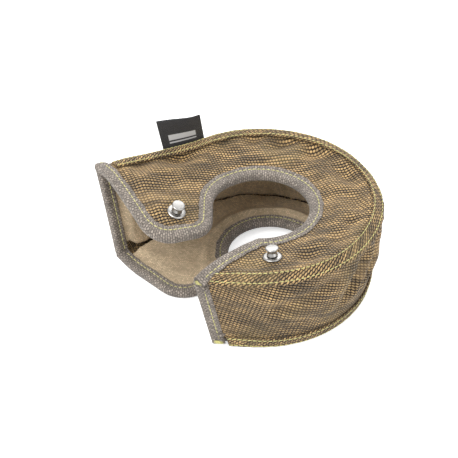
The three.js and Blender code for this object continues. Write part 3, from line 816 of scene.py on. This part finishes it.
def batting_material():
    """Pale needle mat."""
    colours = bpy.context.scene.blanket_colours
    material, tree, shader = new_material("Needle_mat")
    where = solid_place(tree)
    fibres = noise(tree, where, 600.0, 6.0, 0.7)
    colour = blend_colour(tree, fibres, tuple(c * 0.7 for c in colours.batting), tuple(colours.batting))
    tree.links.new(colour, shader.inputs["Base Color"])
    shader.inputs["Roughness"].default_value = 1.0
    bump(tree, shader, fibres, 0.0006)
    return material


def steel_material():
    """Turned stainless steel with fine smears."""
    colours = bpy.context.scene.blanket_colours
    material, tree, shader = new_material("Stainless_steel")
    where = solid_place(tree)
    smear = noise(tree, where, 350.0, 4.0)
    tree.links.new(remap(tree, smear, 0.3, 0.7, 0.2, 0.36), shader.inputs["Roughness"])
    colour = blend_colour(tree, smear, tuple(c * 0.88 for c in colours.steel), tuple(colours.steel))
    tree.links.new(colour, shader.inputs["Base Color"])
    shader.inputs["Metallic"].default_value = 1.0
    bump(tree, shader, noise(tree, where, 2200.0, 2.0), 0.00003)
    return material


def material_named(name, build):
    """The material of that name, built once."""
    return bpy.data.materials.get(name) or build()


def twill(name, skew, smooth):
    return material_named(name, lambda: twill_material(name, skew, smooth))


def lining():
    return material_named("Silica_lining", lining_material)


def knit():
    return material_named("Knitted_binding", binding_material)


def thread():
    return material_named("Aramid_thread", thread_material)


def steel():
    return material_named("Stainless_steel", steel_material)


# Dents of the upper cloth: x, y, radius, depth, stretch and direction, in millimetres and degrees
UPPER_DENTS = (
    (-52, 40, 11, 2.2, 1.8, 35),
    (-22, 47, 8, 2.4, 1.3, 60),
    (14, 56, 7, 2.6, 1.6, 15),
    (38, 46, 9, 3.0, 1.7, -35),
    (58, 22, 8, 2.4, 1.5, -60),
    (60, -14, 8, 2.0, 1.6, -100),
    (-58, 8, 9, 1.8, 1.6, 70),
    (28, -56, 8, 1.6, 2.0, -20),
    (50, -38, 8, 2.0, 1.6, -50),
)


def anchor_middle(side):
    """Plan of an anchor's washer, in millimetres round the ring's middle."""
    low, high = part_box(f"{side}_anchor_washer")
    return [(low[i] + high[i]) / 2 / MM - RING_MIDDLE[i] for i in (0, 1)]


def upper_relief(plan, column, depth, width):
    """How far the soft upper cloth stands over the plain face."""
    pucker = bpy.context.scene.blanket_sizes.pucker / MM
    run = upper_run(column)
    free = smoothstep(upper.bound_distance(plan), 7, 16)
    crown = 1.4 * smoothstep(depth, 9, 22) * smoothstep(upper.bound_distance(plan), 8, 20)
    beside = np.exp(-(((depth - 15.5) / 6.5) ** 2))
    scallop = 0.5 + 0.5 * np.cos(2 * math.pi * run / 31 + 1.4 * np.sin(run / 23))
    near_bind = np.exp(-(((upper.bound_distance(plan) - 10.5) / 4.0) ** 2))
    gather = 0.5 + 0.5 * np.cos(run / 2.3 + 2 * np.sin(run / 17))
    relief = crown - pucker * beside * scallop - 0.5 * near_bind * gather
    relief = relief + free * (0.9 * ripple(plan, 34, SEED) + 0.3 * ripple(plan, 13, SEED + 1))
    for x, y, radius, deep, stretch, angle in UPPER_DENTS:
        relief = relief + free * dent(plan, x, y, radius, deep, stretch, angle)
    for side in ("left", "front"):
        x, y = anchor_middle(side)
        away = np.hypot(plan[..., 0] - x, plan[..., 1] - y)
        calm = smoothstep(away, 5.5, 13)
        relief = mix(-0.15, relief, calm)
    return relief * smoothstep(depth, 3, 12)


def upper_run(column):
    """Distance along the upper seam for any column."""
    table = np.linspace(0, COLUMNS, 600)
    return np.interp(column, table, seam_run(table))


class BLANKET_OT_upper_cloth(bpy.types.Operator):
    """Makes the upper panel's outer cloth and its lining"""

    bl_idname = "blanket.upper_cloth"
    bl_label = "Upper cloth"

    def execute(self, context):
        plan, column, depth, width = panel_grid(upper, 56, 0.2)
        height = upper_face(plan) + upper_relief(plan, column, depth, width)
        height = height - 0.5 * np.clip(1 - depth / 3.0, 0, 1) ** 2 * 3.0
        grid = np.concatenate([plan, height[..., None]], axis=-1)
        cloth = cloth_slab(
            "upper_cloth", grid, weave_plan(plan), CLOTH, 1, twill("Basalt_twill_panel", 0.0, 0.35), "twill", ["upper_shell"]
        )
        plan, column, depth, width = panel_grid(upper, 30, 8.0)
        under = upper_face(plan) - CLOTH - 2 * CLEARANCE - upper.matt(plan) - LINER
        under = under - 0.5 * np.abs(ripple(plan, 22, SEED + 5)) * smoothstep(upper.bound_distance(plan), 9, 16)
        grid = np.concatenate([plan, under[..., None]], axis=-1)
        liner = cloth_slab("upper_lining", grid, plan, LINER, -1, lining(), "liner", ["upper_liner"])
        return {"FINISHED"}


def lower_lining_face(plan):
    """Height of the lower panel's soft lining."""
    free = smoothstep(lower.bound_distance(plan), 8, 18)
    soft = 0.9 * ripple(plan, 30, SEED + 8) + 0.35 * ripple(plan, 12, SEED + 9)
    return lower_face(plan) + CLOTH + 2 * CLEARANCE + lower.matt(plan) + LINER + free * (0.8 + soft)


class BLANKET_OT_lower_cloth(bpy.types.Operator):
    """Makes the lower panel's outer cloth and its lining"""

    bl_idname = "blanket.lower_cloth"
    bl_label = "Lower cloth"

    def execute(self, context):
        plan, _, depth, _ = panel_grid(lower, 44, 0.2)
        grid = np.concatenate([plan, lower_face(plan)[..., None]], axis=-1)
        cloth = cloth_slab(
            "lower_cloth", grid, weave_plan(plan), CLOTH, -1, twill("Basalt_twill_panel", 0.0, 0.35), "twill", ["lower_shell"]
        )
        plan = panel_grid(lower, 56, 7.0)[0]
        grid = np.concatenate([plan, lower_lining_face(plan)[..., None]], axis=-1)
        liner = cloth_slab("lower_lining", grid, plan, LINER, 1, lining(), "liner", ["lower_liner"])
        return {"FINISHED"}


# Creases of the side band: run along the seam and share of the height at both ends, width and depth
SIDE_CREASES = (
    (262, 0.95, 296, 0.35, 5, 3.2),
    (288, 0.95, 322, 0.20, 4.5, 2.6),
    (238, 0.90, 266, 0.25, 5, 2.8),
    (322, 0.80, 360, 0.55, 6, 1.6),
    (205, 0.90, 218, 0.20, 5, 2.4),
    (150, 0.85, 160, 0.15, 8, 1.8),
    (90, 0.90, 98, 0.15, 8, 1.8),
)


BAND_HEIGHT = 58.0


def side_relief(run, share):
    """How far the soft side band stands out from the plain one."""
    place = np.stack([run, share * BAND_HEIGHT], axis=-1)
    total = 0.5 * ripple(place, 40, SEED + 11) + 0.25 * ripple(place, 15, SEED + 12)
    for run_a, share_a, run_b, share_b, wide, deep in SIDE_CREASES:
        start = np.array([run_a, share_a * BAND_HEIGHT])
        along = np.array([run_b, share_b * BAND_HEIGHT]) - start
        length = np.linalg.norm(along)
        along = along / length
        offset = place - start
        on = np.clip(offset @ along, 0, length)
        away = np.linalg.norm(offset - on[..., None] * along, axis=-1)
        total = total - deep * np.exp(-((away / wide) ** 2)) + 0.6 * deep * np.exp(-(((away - 1.6 * wide) / wide) ** 2))
    return total * smoothstep(share, 0.15, 0.42) * smoothstep(1 - share, 0.06, 0.28)


def side_lining_relief(run, share):
    """How far the soft lining of the band stands in from the plain one."""
    place = np.stack([run, share * BAND_HEIGHT], axis=-1)
    return 0.9 * ripple(place, 24, SEED + 15) + 0.3 * ripple(place, 10, SEED + 16)


def side_frame(rows, low, high, depth):
    """Points over the band at one depth, with their place and the way in."""
    column = fine_columns()
    columns = np.broadcast_to(column[:, None], (len(column), rows))
    shares = np.broadcast_to(np.linspace(low, high, rows)[None], columns.shape)
    depths = np.broadcast_to(np.reshape(depth, (-1, 1)), columns.shape)
    grid = band_point(columns, shares, depths)
    way = band_point(columns, shares, depths + 1.0) - grid
    run = np.broadcast_to(upper_run(column)[:, None], columns.shape)
    free = smoothstep(upper.bound_distance(upper.edges(column)[0]), 7, 20)[:, None]
    return grid, columns, shares, run, way, free


def side_matt(column):
    return np.minimum(*[panel.matt(panel.edges(column)[0]) for panel in (upper, lower)])


def side_slab(name, grid, uv, facing, thick, material, slot, replaced):
    """A cloth of the side band whose visible face looks the given way."""
    out = normals(grid)
    if (out * facing).sum() < 0:
        grid, uv = grid[::-1], uv[::-1]
        out = normals(grid)
    points, faces = slab(grid, grid - out * thick)
    return make_piece(name, points, faces, material, slot, replaced, np.concatenate([uv.reshape(-1, 2)] * 2))


class BLANKET_OT_side_cloth(bpy.types.Operator):
    """Makes the side band's outer cloth and its lining"""

    bl_idname = "blanket.side_cloth"
    bl_label = "Side cloth"

    def execute(self, context):
        grid, _, shares, run, way, free = side_frame(50, 0.0, 0.975, 0.0)
        grid = grid - way * (free * side_relief(run, shares))[..., None]
        uv = np.stack([run, grid[..., 2] + 0 * run], axis=-1)
        cloth = side_slab(
            "side_cloth", grid, uv, -way, CLOTH, twill("Basalt_twill_band", -0.34, 0.5), "twill", ["side_shell"]
        )

        depth = CLOTH + 2 * CLEARANCE + side_matt(fine_columns()) + LINER
        grid, _, shares, run, way, free = side_frame(36, 0.13, 0.9, depth)
        grid = grid + way * (free * side_lining_relief(run, shares))[..., None]
        uv = np.stack([run, shares * BAND_HEIGHT], axis=-1)
        liner = side_slab("side_lining", grid, uv, way, LINER, lining(), "liner", ["side_liner"])
        return {"FINISHED"}


def tape_section(inset):
    """Rounded channel of the binding: distance into the cloth and depth below the outside."""
    top = [(BINDING_WIDTH + 0.1 * inset, -0.25), (BINDING_WIDTH - 0.4, -0.75), (6.3, -0.95), (5.2, -0.8),
           (STITCH_INSET, -0.55), (3.3, -0.85), (2.0, -1.2), (0.7, -1.35)]
    middle = EDGE_THICK / 2
    nose = [(-1.55 * math.sin(turn), middle - (middle + 1.3) * math.cos(turn)) for turn in np.linspace(0.25, math.pi - 0.25, 9)]
    bottom = [(into, EDGE_THICK - depth) for into, depth in reversed(top)]
    outer = top + nose + bottom
    inner = [(max(into, 0.0), EDGE_THICK + 0.05) for into in (BINDING_WIDTH - 0.6, 4.0, 0.2)]
    inner += [(into, -0.05) for into in (0.2, 4.0, BINDING_WIDTH - 0.6)]
    return outer, inner


def loft(sections):
    """A closed body through equal closed sections, with flat ends."""
    rings, count = sections.shape[:2]
    index = np.arange(rings * count).reshape(rings, count)
    after = np.roll(index, -1, axis=1)
    quads = np.stack([index[:-1], after[:-1], after[1:], index[1:]], axis=-1).reshape(-1, 4).tolist()
    quads.append(index[0][::-1].tolist())
    quads.append(index[-1].tolist())
    return sections.reshape(-1, 3), quads


def bound_line(panel, steps):
    """The bound edge in plan at even steps, with the direction into the cloth."""
    share = np.linspace(0.0008, 0.9992, steps)
    points = panel.bound_route.at(share)
    run = np.gradient(points, axis=0)
    kernel = np.hanning(9)
    kernel /= kernel.sum()
    smooth = np.stack([np.convolve(np.pad(axis, 4, mode="edge"), kernel, "valid") for axis in run.T], axis=1)
    smooth /= np.linalg.norm(smooth, axis=1, keepdims=True)
    into = np.stack([-smooth[:, 1], smooth[:, 0]], axis=1)
    return points, into, share * panel.bound_route.length


def bound_height(panel, plan, depth):
    return upper_face(plan) - depth if panel is upper else lower_face(plan) + depth


def bound_point(panel, points, into, distance, depth):
    """Points beside the bound edge: a distance into the cloth and a depth below its outside."""
    distance = np.broadcast_to(distance, points.shape[:1])
    at = points + into * distance[:, None]
    held = points + into * np.clip(distance, 0, None)[:, None]
    return np.concatenate([at, bound_height(panel, held, depth)[:, None]], axis=-1)


def end_point(is_left, share, distance, depth):
    """The same beside an upright end of the side band."""
    column = np.full(share.shape, 0.0 if is_left else float(COLUMNS))
    if is_left:
        low_run, top_run = -lower.leg_run, -upper.leg_run
    else:
        low_run, top_run = unit(lower.leave - lower.front_end), unit(upper.leave - upper.front_end)
    run = mix(low_run, top_run, share[:, None])
    depth = np.broadcast_to(depth, share.shape)
    under = band_plan(column, share, np.clip(depth, 0, None)) + run * max(distance, 0)
    at = band_plan(column, share, depth) + run * distance
    return np.concatenate([at, mix(lower_face(under), upper_face(under), share)[:, None]], axis=-1)


def girth(section):
    """Running distance round a section, for the tape's own coordinates."""
    steps = [math.dist(a, b) for a, b in zip(section, section[1:])]
    return np.concatenate([[0], np.cumsum(steps)])


def make_tape(name, place, run, wobble, replaced):
    """A binding tape from a function that sets one point of its section all along."""
    outer, inner = tape_section(0)
    section = outer + inner
    rings = []
    for k, (into, depth) in enumerate(section):
        edge = 1.0 if k in (0, len(outer) - 1) else 0.4 if k in (1, len(outer) - 2) else 0.0
        rings.append(place(into, depth, wobble * edge))
    sections = np.stack(rings, axis=1)
    points, faces = loft(sections)
    around = girth(section)
    uv = np.stack([np.broadcast_to(run[:, None], sections.shape[:2]), np.broadcast_to(around, sections.shape[:2])], axis=-1)
    tape = make_piece(name, points, faces, knit(), "binding", replaced, uv)
    girth(outer)[-1] * MM


class BLANKET_OT_bindings(bpy.types.Operator):
    """Makes the four knitted edge bindings"""

    bl_idname = "blanket.bindings"
    bl_label = "Bindings"

    def execute(self, context):
        for panel, name, flat in ((upper, "upper", 0.375), (lower, "lower", 0.335)):
            points, into, run = bound_line(panel, 300)
            wobble = 0.28 * np.sin(run / 2.1 + 1.5 * np.sin(run / 9)) + 0.2 * np.sin(run / 0.9)

            def place(distance, depth, shift):
                return bound_point(panel, points, into, distance + shift, depth)

            make_tape(f"{name}_binding_tape", place, run, wobble, [f"{name}_binding"])
        for is_left, name in ((True, "left"), (False, "front")):
            low, high = (0.04, 0.985) if is_left else (-0.09, 0.97)
            share = np.linspace(low, high, 60)
            run = share * 60.0
            wobble = 0.25 * np.sin(run / 2.0)

            def place_end(distance, depth, shift):
                return end_point(is_left, share, distance, depth)

            make_tape(f"{name}_end_tape", place_end, run, wobble, [f"{name}_end_binding"])
        return {"FINISHED"}


def welt_line(panel, steps):
    """Columns along a seam between the two end bindings."""
    distance = np.linspace(WELT_MARGIN, panel.seam_length - WELT_MARGIN, steps)
    return panel.column_at(distance), distance


def upper_welt_rim(column):
    """Depth of the upper welt's outer edge."""
    shift = smoothstep(column / COLUMNS, *WELT_SHIFT)
    return mix(WELT_BACK, WELT_FRONT, shift)


def upper_welt_point(column, across, lift):
    """A point on the upper welt: across it from its outer edge, and over its foot."""
    outer, inward, _ = upper.station(column)
    plan = outer + inward * (upper_welt_rim(column) + across)[:, None]
    return np.concatenate([plan, (upper_face(plan) + WELT_LIFT + lift)[:, None]], axis=-1)


def lower_welt_point(column, across, lift):
    """A point on the lower welt, which lies against the foot of the wall."""
    height = 0.6 + across + np.zeros_like(column)
    foot, top = (band_point(column, np.full(column.shape, share), 0 * column)[:, 2] for share in (0.0, 1.0))
    plan = band_plan(column, (height - foot) / (top - foot), -0.1 - lift)
    return np.concatenate([plan, height[:, None]], axis=-1)


class BLANKET_OT_welts(bpy.types.Operator):
    """Makes the folded strips that are sewn on the two seams"""

    bl_idname = "blanket.welts"
    bl_label = "Seam welts"

    def execute(self, context):
        profile = [(0.0, 0.7), (0.25, 1.3), (0.9, 1.75), (2.2, 1.5), (4.0, 1.9), (5.8, 1.5), (7.1, 1.7), (7.75, 1.2),
                   (8.0, 0.6), (7.6, 0.0), (4.0, -0.1), (0.4, 0.0)]
        for panel, name, setter in ((upper, "upper", upper_welt_point), (lower, "lower", lower_welt_point)):
            column, distance = welt_line(panel, 420)
            wave = 0.25 * np.sin(distance / 2.7 + 2 * np.sin(distance / 13)) + 0.15 * np.sin(distance / 1.1)
            rings = []
            for across, lift in profile:
                edge = 1.0 if across < 1 or across > 7 else 0.2
                thick = lift + (0.12 * wave if lift > 0.5 else 0)
                rings.append(setter(column, across + edge * wave * 0.8, thick + np.zeros_like(distance)))
            sections = np.stack(rings, axis=1)
            points, faces = loft(sections)
            around = girth(profile)
            uv = np.stack(
                [np.broadcast_to(distance[:, None], sections.shape[:2]), np.broadcast_to(around, sections.shape[:2])],
                axis=-1,
            )
            welt = make_piece(
                f"{name}_welt", points, faces, twill("Basalt_twill_welt", 0.6, 0.1), "twill", [f"{name}_seam_welt"], uv
            )
        return {"FINISHED"}


def stitch_row(line, radius, length, gap_share=0.16, sink=0.25):
    """Stitches along a line of points, as points and faces in millimetres."""
    route = Route(line)
    count = max(int(route.length / length), 1)
    sides, rings = 6, 5
    points, faces = [], []
    turn = np.linspace(0, 2 * math.pi, sides, endpoint=False)
    for k in range(count):
        share = np.linspace(k + gap_share / 2, k + 1 - gap_share / 2, rings) / count
        spine = route.at(share)
        arch = np.sin(np.linspace(0, math.pi, rings))
        spine[:, 2] += sink * (arch - 1)
        along = unit(spine[-1] - spine[0])
        side = np.cross(along, [0, 0, 1])
        if np.linalg.norm(side) < 1e-3:
            side = np.array([1.0, 0, 0])
        side = unit(side)
        up = np.cross(side, along)
        thick = radius * np.array([0.35, 0.9, 1.0, 0.9, 0.35])
        ring = spine[:, None] + thick[:, None, None] * (
            np.cos(turn)[None, :, None] * side + np.sin(turn)[None, :, None] * up
        )
        base = len(points) * rings * sides
        points.append(ring.reshape(-1, 3))
        index = np.arange(rings * sides).reshape(rings, sides) + base
        after = np.roll(index, -1, axis=1)
        faces += np.stack([index[:-1], after[:-1], after[1:], index[1:]], axis=-1).reshape(-1, 4).tolist()
        faces += [index[0][::-1].tolist(), index[-1].tolist()]
    return np.concatenate(points), faces


def merge(parts):
    points, faces, base = [], [], 0
    for some_points, some_faces in parts:
        points.append(some_points)
        faces += [[i + base for i in face] for face in some_faces]
        base += len(some_points)
    return np.concatenate(points), faces


class BLANKET_OT_stitches(bpy.types.Operator):
    """Sews the yellow rows on the bindings and the welts, and the tacks at the corners"""

    bl_idname = "blanket.stitches"
    bl_label = "Stitches"

    def execute(self, context):
        sizes = context.scene.blanket_sizes
        radius, length = sizes.thread_radius / MM, sizes.stitch_length / MM
        for panel, name in ((upper, "upper"), (lower, "lower")):
            points, into, run = bound_line(panel, 300)
            sway = STITCH_INSET + 0.25 * np.sin(run / 11)
            rows = []
            for depth in (-0.75, EDGE_THICK + 0.75):
                rows.append(stitch_row(bound_point(panel, points, into, sway, depth)[4:-4], radius, length))
            make_piece(f"{name}_binding_stitches", *merge(rows), thread(), "binding", ())
        for is_left, name in ((True, "left"), (False, "front")):
            share = np.linspace(0.08 if is_left else -0.04, 0.93, 60)
            rows = [
                stitch_row(end_point(is_left, share, STITCH_INSET, depth), radius, length)
                for depth in (-0.75, EDGE_THICK + 0.75)
            ]
            make_piece(f"{name}_end_stitches", *merge(rows), thread(), "binding", ())
        for panel, name, setter in ((upper, "upper", upper_welt_point), (lower, "lower", lower_welt_point)):
            column, distance = welt_line(panel, 420)
            sway = 0.3 * np.sin(distance / 14)
            rows = [
                stitch_row(setter(column, across + sway, np.full(distance.shape, 1.72)), radius, length)
                for across in (1.5, 6.9)
            ]
            make_piece(f"{name}_welt_stitches", *merge(rows), thread(), "binding", ())
        self.tacks(radius)
        return {"FINISHED"}

    def tacks(self, radius):
        """Dense zigzags where the bindings meet."""
        parts = []
        for is_left in (True, False):
            for share, spread in ((0.985 if is_left else 0.965, 0.05), (0.05 if is_left else -0.06, 0.04)):
                for k in range(6):
                    level = np.array([share - spread * 0.5 + spread * k / 5])
                    line = np.concatenate([
                        end_point(is_left, level, distance, -1.25) for distance in np.linspace(0.4, 6.8, 6)
                    ])
                    line[:, 2] += 0.25 * (k % 2)
                    parts.append(stitch_row(line, radius * 0.9, 8.0, 0.05, 0.1))
        make_piece("corner_tacks", *merge(parts), thread(), "binding", ())


class BLANKET_OT_label(bpy.types.Operator):
    """Makes the folded tag that stands in the seam"""

    bl_idname = "blanket.label"
    bl_label = "Tag"

    def execute(self, context):
        distance = np.linspace(50.8, 84.8, 30)
        column = upper.column_at(distance)
        outer, inward, _ = upper.station(column)
        rise = np.linspace(0, 1, 22)
        foot = upper_face(outer + inward * 2.8) - 0.5
        along = np.linspace(-1, 1, 30)
        sway = 3.0 * along[:, None] * rise[None] + 0.5 * np.sin(3 * along[:, None]) * rise[None]
        plan = outer[:, None] + inward[:, None] * (1.9 + sway)[..., None] + upper.leg_run * (3.5 * rise)[None, :, None]
        height = foot[:, None] + 23.6 * rise[None] * np.ones_like(along)[:, None]
        front = np.concatenate([plan, height[..., None]], axis=-1)
        way = np.concatenate([inward, np.zeros((30, 1))], axis=-1)[:, None]
        fold = 0.62 * np.sqrt(np.clip(1 - rise**6, 0.02, 1))[None, :, None]
        near, far = front + way * fold, front - way * fold
        uv = np.stack([np.broadcast_to((distance - distance[0])[:, None], height.shape), 23.6 * rise[None] + 0 * height], axis=-1)
        outward = normals(near)
        if (outward * way).sum() < 0:
            near, far, uv = near[::-1], far[::-1], uv[::-1]
        points, faces = slab(near, far)
        tag = make_piece(
            "tag", points, faces, material_named("Tag_satin", satin_material), "satin", ["label"],
            np.concatenate([uv.reshape(-1, 2)] * 2),
        )
        return {"FINISHED"}


def turned(name, profile, seat, axis, replaced):
    """A turned piece from radius and height pairs, set on its seat."""
    steps = 48
    turn = np.linspace(0, 2 * math.pi, steps, endpoint=False)
    up = np.array(axis)
    side = unit(np.cross(up, [0.0, 1.0, 0.0]))
    other = np.cross(up, side)
    rings = np.stack([
        np.array(seat) + height * up + radius * (np.cos(turn)[:, None] * side + np.sin(turn)[:, None] * other)
        for radius, height in profile
    ])
    count = len(profile)
    index = np.arange(count * steps).reshape(count, steps)
    after = np.roll(index, -1, axis=1)
    faces = np.stack([index[:-1], index[1:], after[1:], after[:-1]], axis=-1).reshape(-1, 4).tolist()
    if profile[0][0] > 0 and profile[0] != profile[-1]:
        faces += [index[0].tolist(), index[-1][::-1].tolist()]
    return make_piece(name, rings.reshape(-1, 3), faces, steel(), "steel", replaced)


def softened(profile, radius):
    """A profile whose corners are cut by small arcs."""
    points = [profile[0]]
    for before, corner, after in zip(profile, profile[1:], profile[2:]):
        back = np.subtract(before, corner)
        on = np.subtract(after, corner)
        reach = min(radius, np.linalg.norm(back) / 2.2, np.linalg.norm(on) / 2.2)
        start, end = np.add(corner, unit(back) * reach), np.add(corner, unit(on) * reach)
        for share in (0.0, 0.33, 0.67, 1.0):
            bent = mix(mix(start, np.array(corner), share), mix(np.array(corner), end, share), share)
            points.append(tuple(bent))
    points.append(profile[-1])
    return points


class BLANKET_OT_anchors(bpy.types.Operator):
    """Makes the two lacing anchors with their washers"""

    bl_idname = "blanket.anchors"
    bl_label = "Anchors"

    def execute(self, context):
        for side in ("left", "front"):
            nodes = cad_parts
            washer = nodes[f"{side}_anchor_washer"]
            corners = np.array([washer.matrix_world @ v.co for v in washer.data.vertices]) / MM
            corners -= np.array([*RING_MIDDLE, 0])
            middle = corners.mean(axis=0)
            axis = np.linalg.svd(corners - middle)[2][2]
            axis = axis if axis[2] > 0 else -axis
            base = middle - axis * 0.5
            plate = softened([(2.4, 0.0), (6.0, 0.0), (6.0, 0.55), (5.2, 1.0), (2.4, 1.15), (2.4, 0.3)], 0.3)
            turned(f"{side}_washer", [*plate, plate[0]], base, axis, [f"{side}_anchor_washer"])
            spool = softened(
                [(1.8, -0.4), (1.8, 1.5), (3.5, 1.5), (2.6, 3.4), (2.6, 4.8), (4.2, 5.7), (4.2, 6.5), (3.6, 6.85), (0.02, 6.9)],
                0.35,
            )
            turned(f"{side}_spool", spool, base, axis, [f"{side}_anchor_spool"])
            back = nodes[f"{side}_anchor_back_washer"]
            back.data.materials.clear()
            back.data.materials.append(steel())
        return {"FINISHED"}


def make_wadding(name, first, second):
    """A soft mat between two grids of points."""
    points, faces = slab(first, second)
    mat = make_piece(
        f"{name}_wadding", points, faces, material_named("Needle_mat", batting_material), "batting", [f"{name}_batting"]
    )


def with_height(plan, height):
    return np.concatenate([plan, height[..., None]], axis=-1)


class BLANKET_OT_waddings(bpy.types.Operator):
    """Makes the three needle mats between the cloths"""

    bl_idname = "blanket.waddings"
    bl_label = "Waddings"

    def execute(self, context):
        plan, column, depth, width = panel_grid(upper, 44, 8.6)
        foot = upper_face(plan) - CLOTH - 2 * CLEARANCE - upper.matt(plan) + 0.15
        top = upper_face(plan) + upper_relief(plan, column, depth, width) - CLOTH - 0.3
        make_wadding("upper", with_height(plan, np.maximum(top, foot + 0.25)), with_height(plan, foot))

        plan = panel_grid(lower, 44, 8.0)[0]
        foot = lower_face(plan) + CLOTH + 0.3
        top = lower_lining_face(plan) - LINER - 0.2
        make_wadding("lower", with_height(plan, np.maximum(top, foot + 0.2)), with_height(plan, foot))

        column = fine_columns()
        outside, columns, shares, run, way, free = side_frame(46, 0.15, 0.88, 0.0)
        near = CLOTH + 0.3 - free * side_relief(run, shares)
        far = (CLOTH + 2 * CLEARANCE + side_matt(column))[:, None] + free * side_lining_relief(run, shares) - 0.2
        far = np.maximum(far, near + 0.25)
        first = outside + way * near[..., None]
        second = outside + way * far[..., None]
        make_wadding("side", first, second)
        return {"FINISHED"}


class BLANKET_OT_stage(bpy.types.Operator):
    """Sets up the floor, the light and the camera"""

    bl_idname = "blanket.stage"
    bl_label = "Stage"

    def execute(self, context):
        scene = context.scene
        studio = scene.blanket_studio
        target = Vector(((RING_MIDDLE[0] - 21) * MM, (RING_MIDDLE[1] + 39) * MM, 0))
        away = Vector((0, -math.cos(studio.tilt), math.sin(studio.tilt)))
        camera_data = bpy.data.cameras.new("camera")
        camera_data.lens = studio.lens
        camera_data.sensor_width = 36
        camera_data.clip_start = 0.01
        camera = bpy.data.objects.new("camera", camera_data)
        camera.location = target + away * studio.distance
        camera.rotation_euler = (-away).to_track_quat("-Z", "Y").to_euler()
        scene.collection.objects.link(camera)
        scene.camera = camera
        self.floor(scene)
        for name, spot, size, power in (
            ("key", (-0.45, -0.35, 0.85), 0.7, studio.key),
            ("fill", (0.7, -0.5, 0.6), 0.9, studio.key * 0.35),
            ("rim", (0.1, 0.8, 0.7), 0.7, studio.key * 0.45),
        ):
            lamp_data = bpy.data.lights.new(name, "AREA")
            lamp_data.energy = power
            lamp_data.size = size
            lamp = bpy.data.objects.new(name, lamp_data)
            lamp.location = spot
            lamp.rotation_euler = Vector(spot).to_track_quat("Z", "Y").to_euler()
            scene.collection.objects.link(lamp)
        self.world(scene, studio.world)
        scene.view_settings.view_transform = "Standard"
        return {"FINISHED"}

    def floor(self, scene):
        material, tree, shader = new_material("Pale_floor")
        shader.inputs["Base Color"].default_value = (0.93, 0.93, 0.93, 1)
        shader.inputs["Roughness"].default_value = 0.9
        seen = tree.nodes.new("ShaderNodeLightPath").outputs["Is Camera Ray"]
        shader.inputs["Emission Color"].default_value = (1, 1, 1, 1)
        tree.links.new(calc(tree, "MULTIPLY", seen, 0.62), shader.inputs["Emission Strength"])
        mesh = bpy.data.meshes.new("floor")
        reach = 3.0
        mesh.from_pydata(
            [(-reach, -reach, 0), (reach, -reach, 0), (reach, reach, 0), (-reach, reach, 0)], [], [(0, 1, 2, 3)]
        )
        mesh.materials.append(material)
        floor = bpy.data.objects.new("floor", mesh)
        scene.collection.objects.link(floor)

    def world(self, scene, strength):
        world = bpy.data.worlds.new("studio")
        scene.world = world
        world.use_nodes = True
        tree = world.node_tree
        background = tree.nodes["Background"]
        background.inputs[0].default_value = (1, 1, 1, 1)
        path = tree.nodes.new("ShaderNodeLightPath")
        direct = calc(tree, "MAXIMUM", path.outputs["Is Camera Ray"], path.outputs["Is Glossy Ray"])
        direct = calc(tree, "MAXIMUM", direct, path.outputs["Is Transmission Ray"])
        level = calc(tree, "MULTIPLY_ADD", direct, 1 - strength, strength)
        tree.links.new(level, background.inputs[1])


class BLANKET_PT_sidebar(bpy.types.Panel):
    """Lists the steps that build the blanket"""

    bl_label = "Heat blanket"
    bl_space_type = "VIEW_3D"
    bl_region_type = "UI"
    bl_category = "Blanket"

    def draw(self, context):
        layout = self.layout
        for operator in OPERATORS:
            layout.operator(operator.bl_idname)
        for group in (context.scene.blanket_sizes, context.scene.blanket_colours, context.scene.blanket_studio):
            for name in group.__annotations__:
                layout.prop(group, name)


OPERATORS = (
    BLANKET_OT_stage,
    BLANKET_OT_waddings,
    BLANKET_OT_upper_cloth,
    BLANKET_OT_lower_cloth,
    BLANKET_OT_side_cloth,
    BLANKET_OT_bindings,
    BLANKET_OT_welts,
    BLANKET_OT_stitches,
    BLANKET_OT_label,
    BLANKET_OT_anchors,
)
SETTINGS = {
    "blanket_sizes": BlanketSizes,
    "blanket_colours": BlanketColours,
    "blanket_studio": StudioSettings,
}


def register():
    for cls in (*SETTINGS.values(), *OPERATORS, BLANKET_PT_sidebar):
        bpy.utils.register_class(cls)
    for name, cls in SETTINGS.items():
        setattr(bpy.types.Scene, name, bpy.props.PointerProperty(type=cls))


def unregister():
    for name in SETTINGS:
        delattr(bpy.types.Scene, name)
    for cls in (BLANKET_PT_sidebar, *reversed(OPERATORS), *SETTINGS.values()):
        bpy.utils.unregister_class(cls)


def main():
    register()
    for operator in OPERATORS:
        group, name = operator.bl_idname.split(".")
        getattr(getattr(bpy.ops, group), name)()


if __name__ == "__main__":
    main()
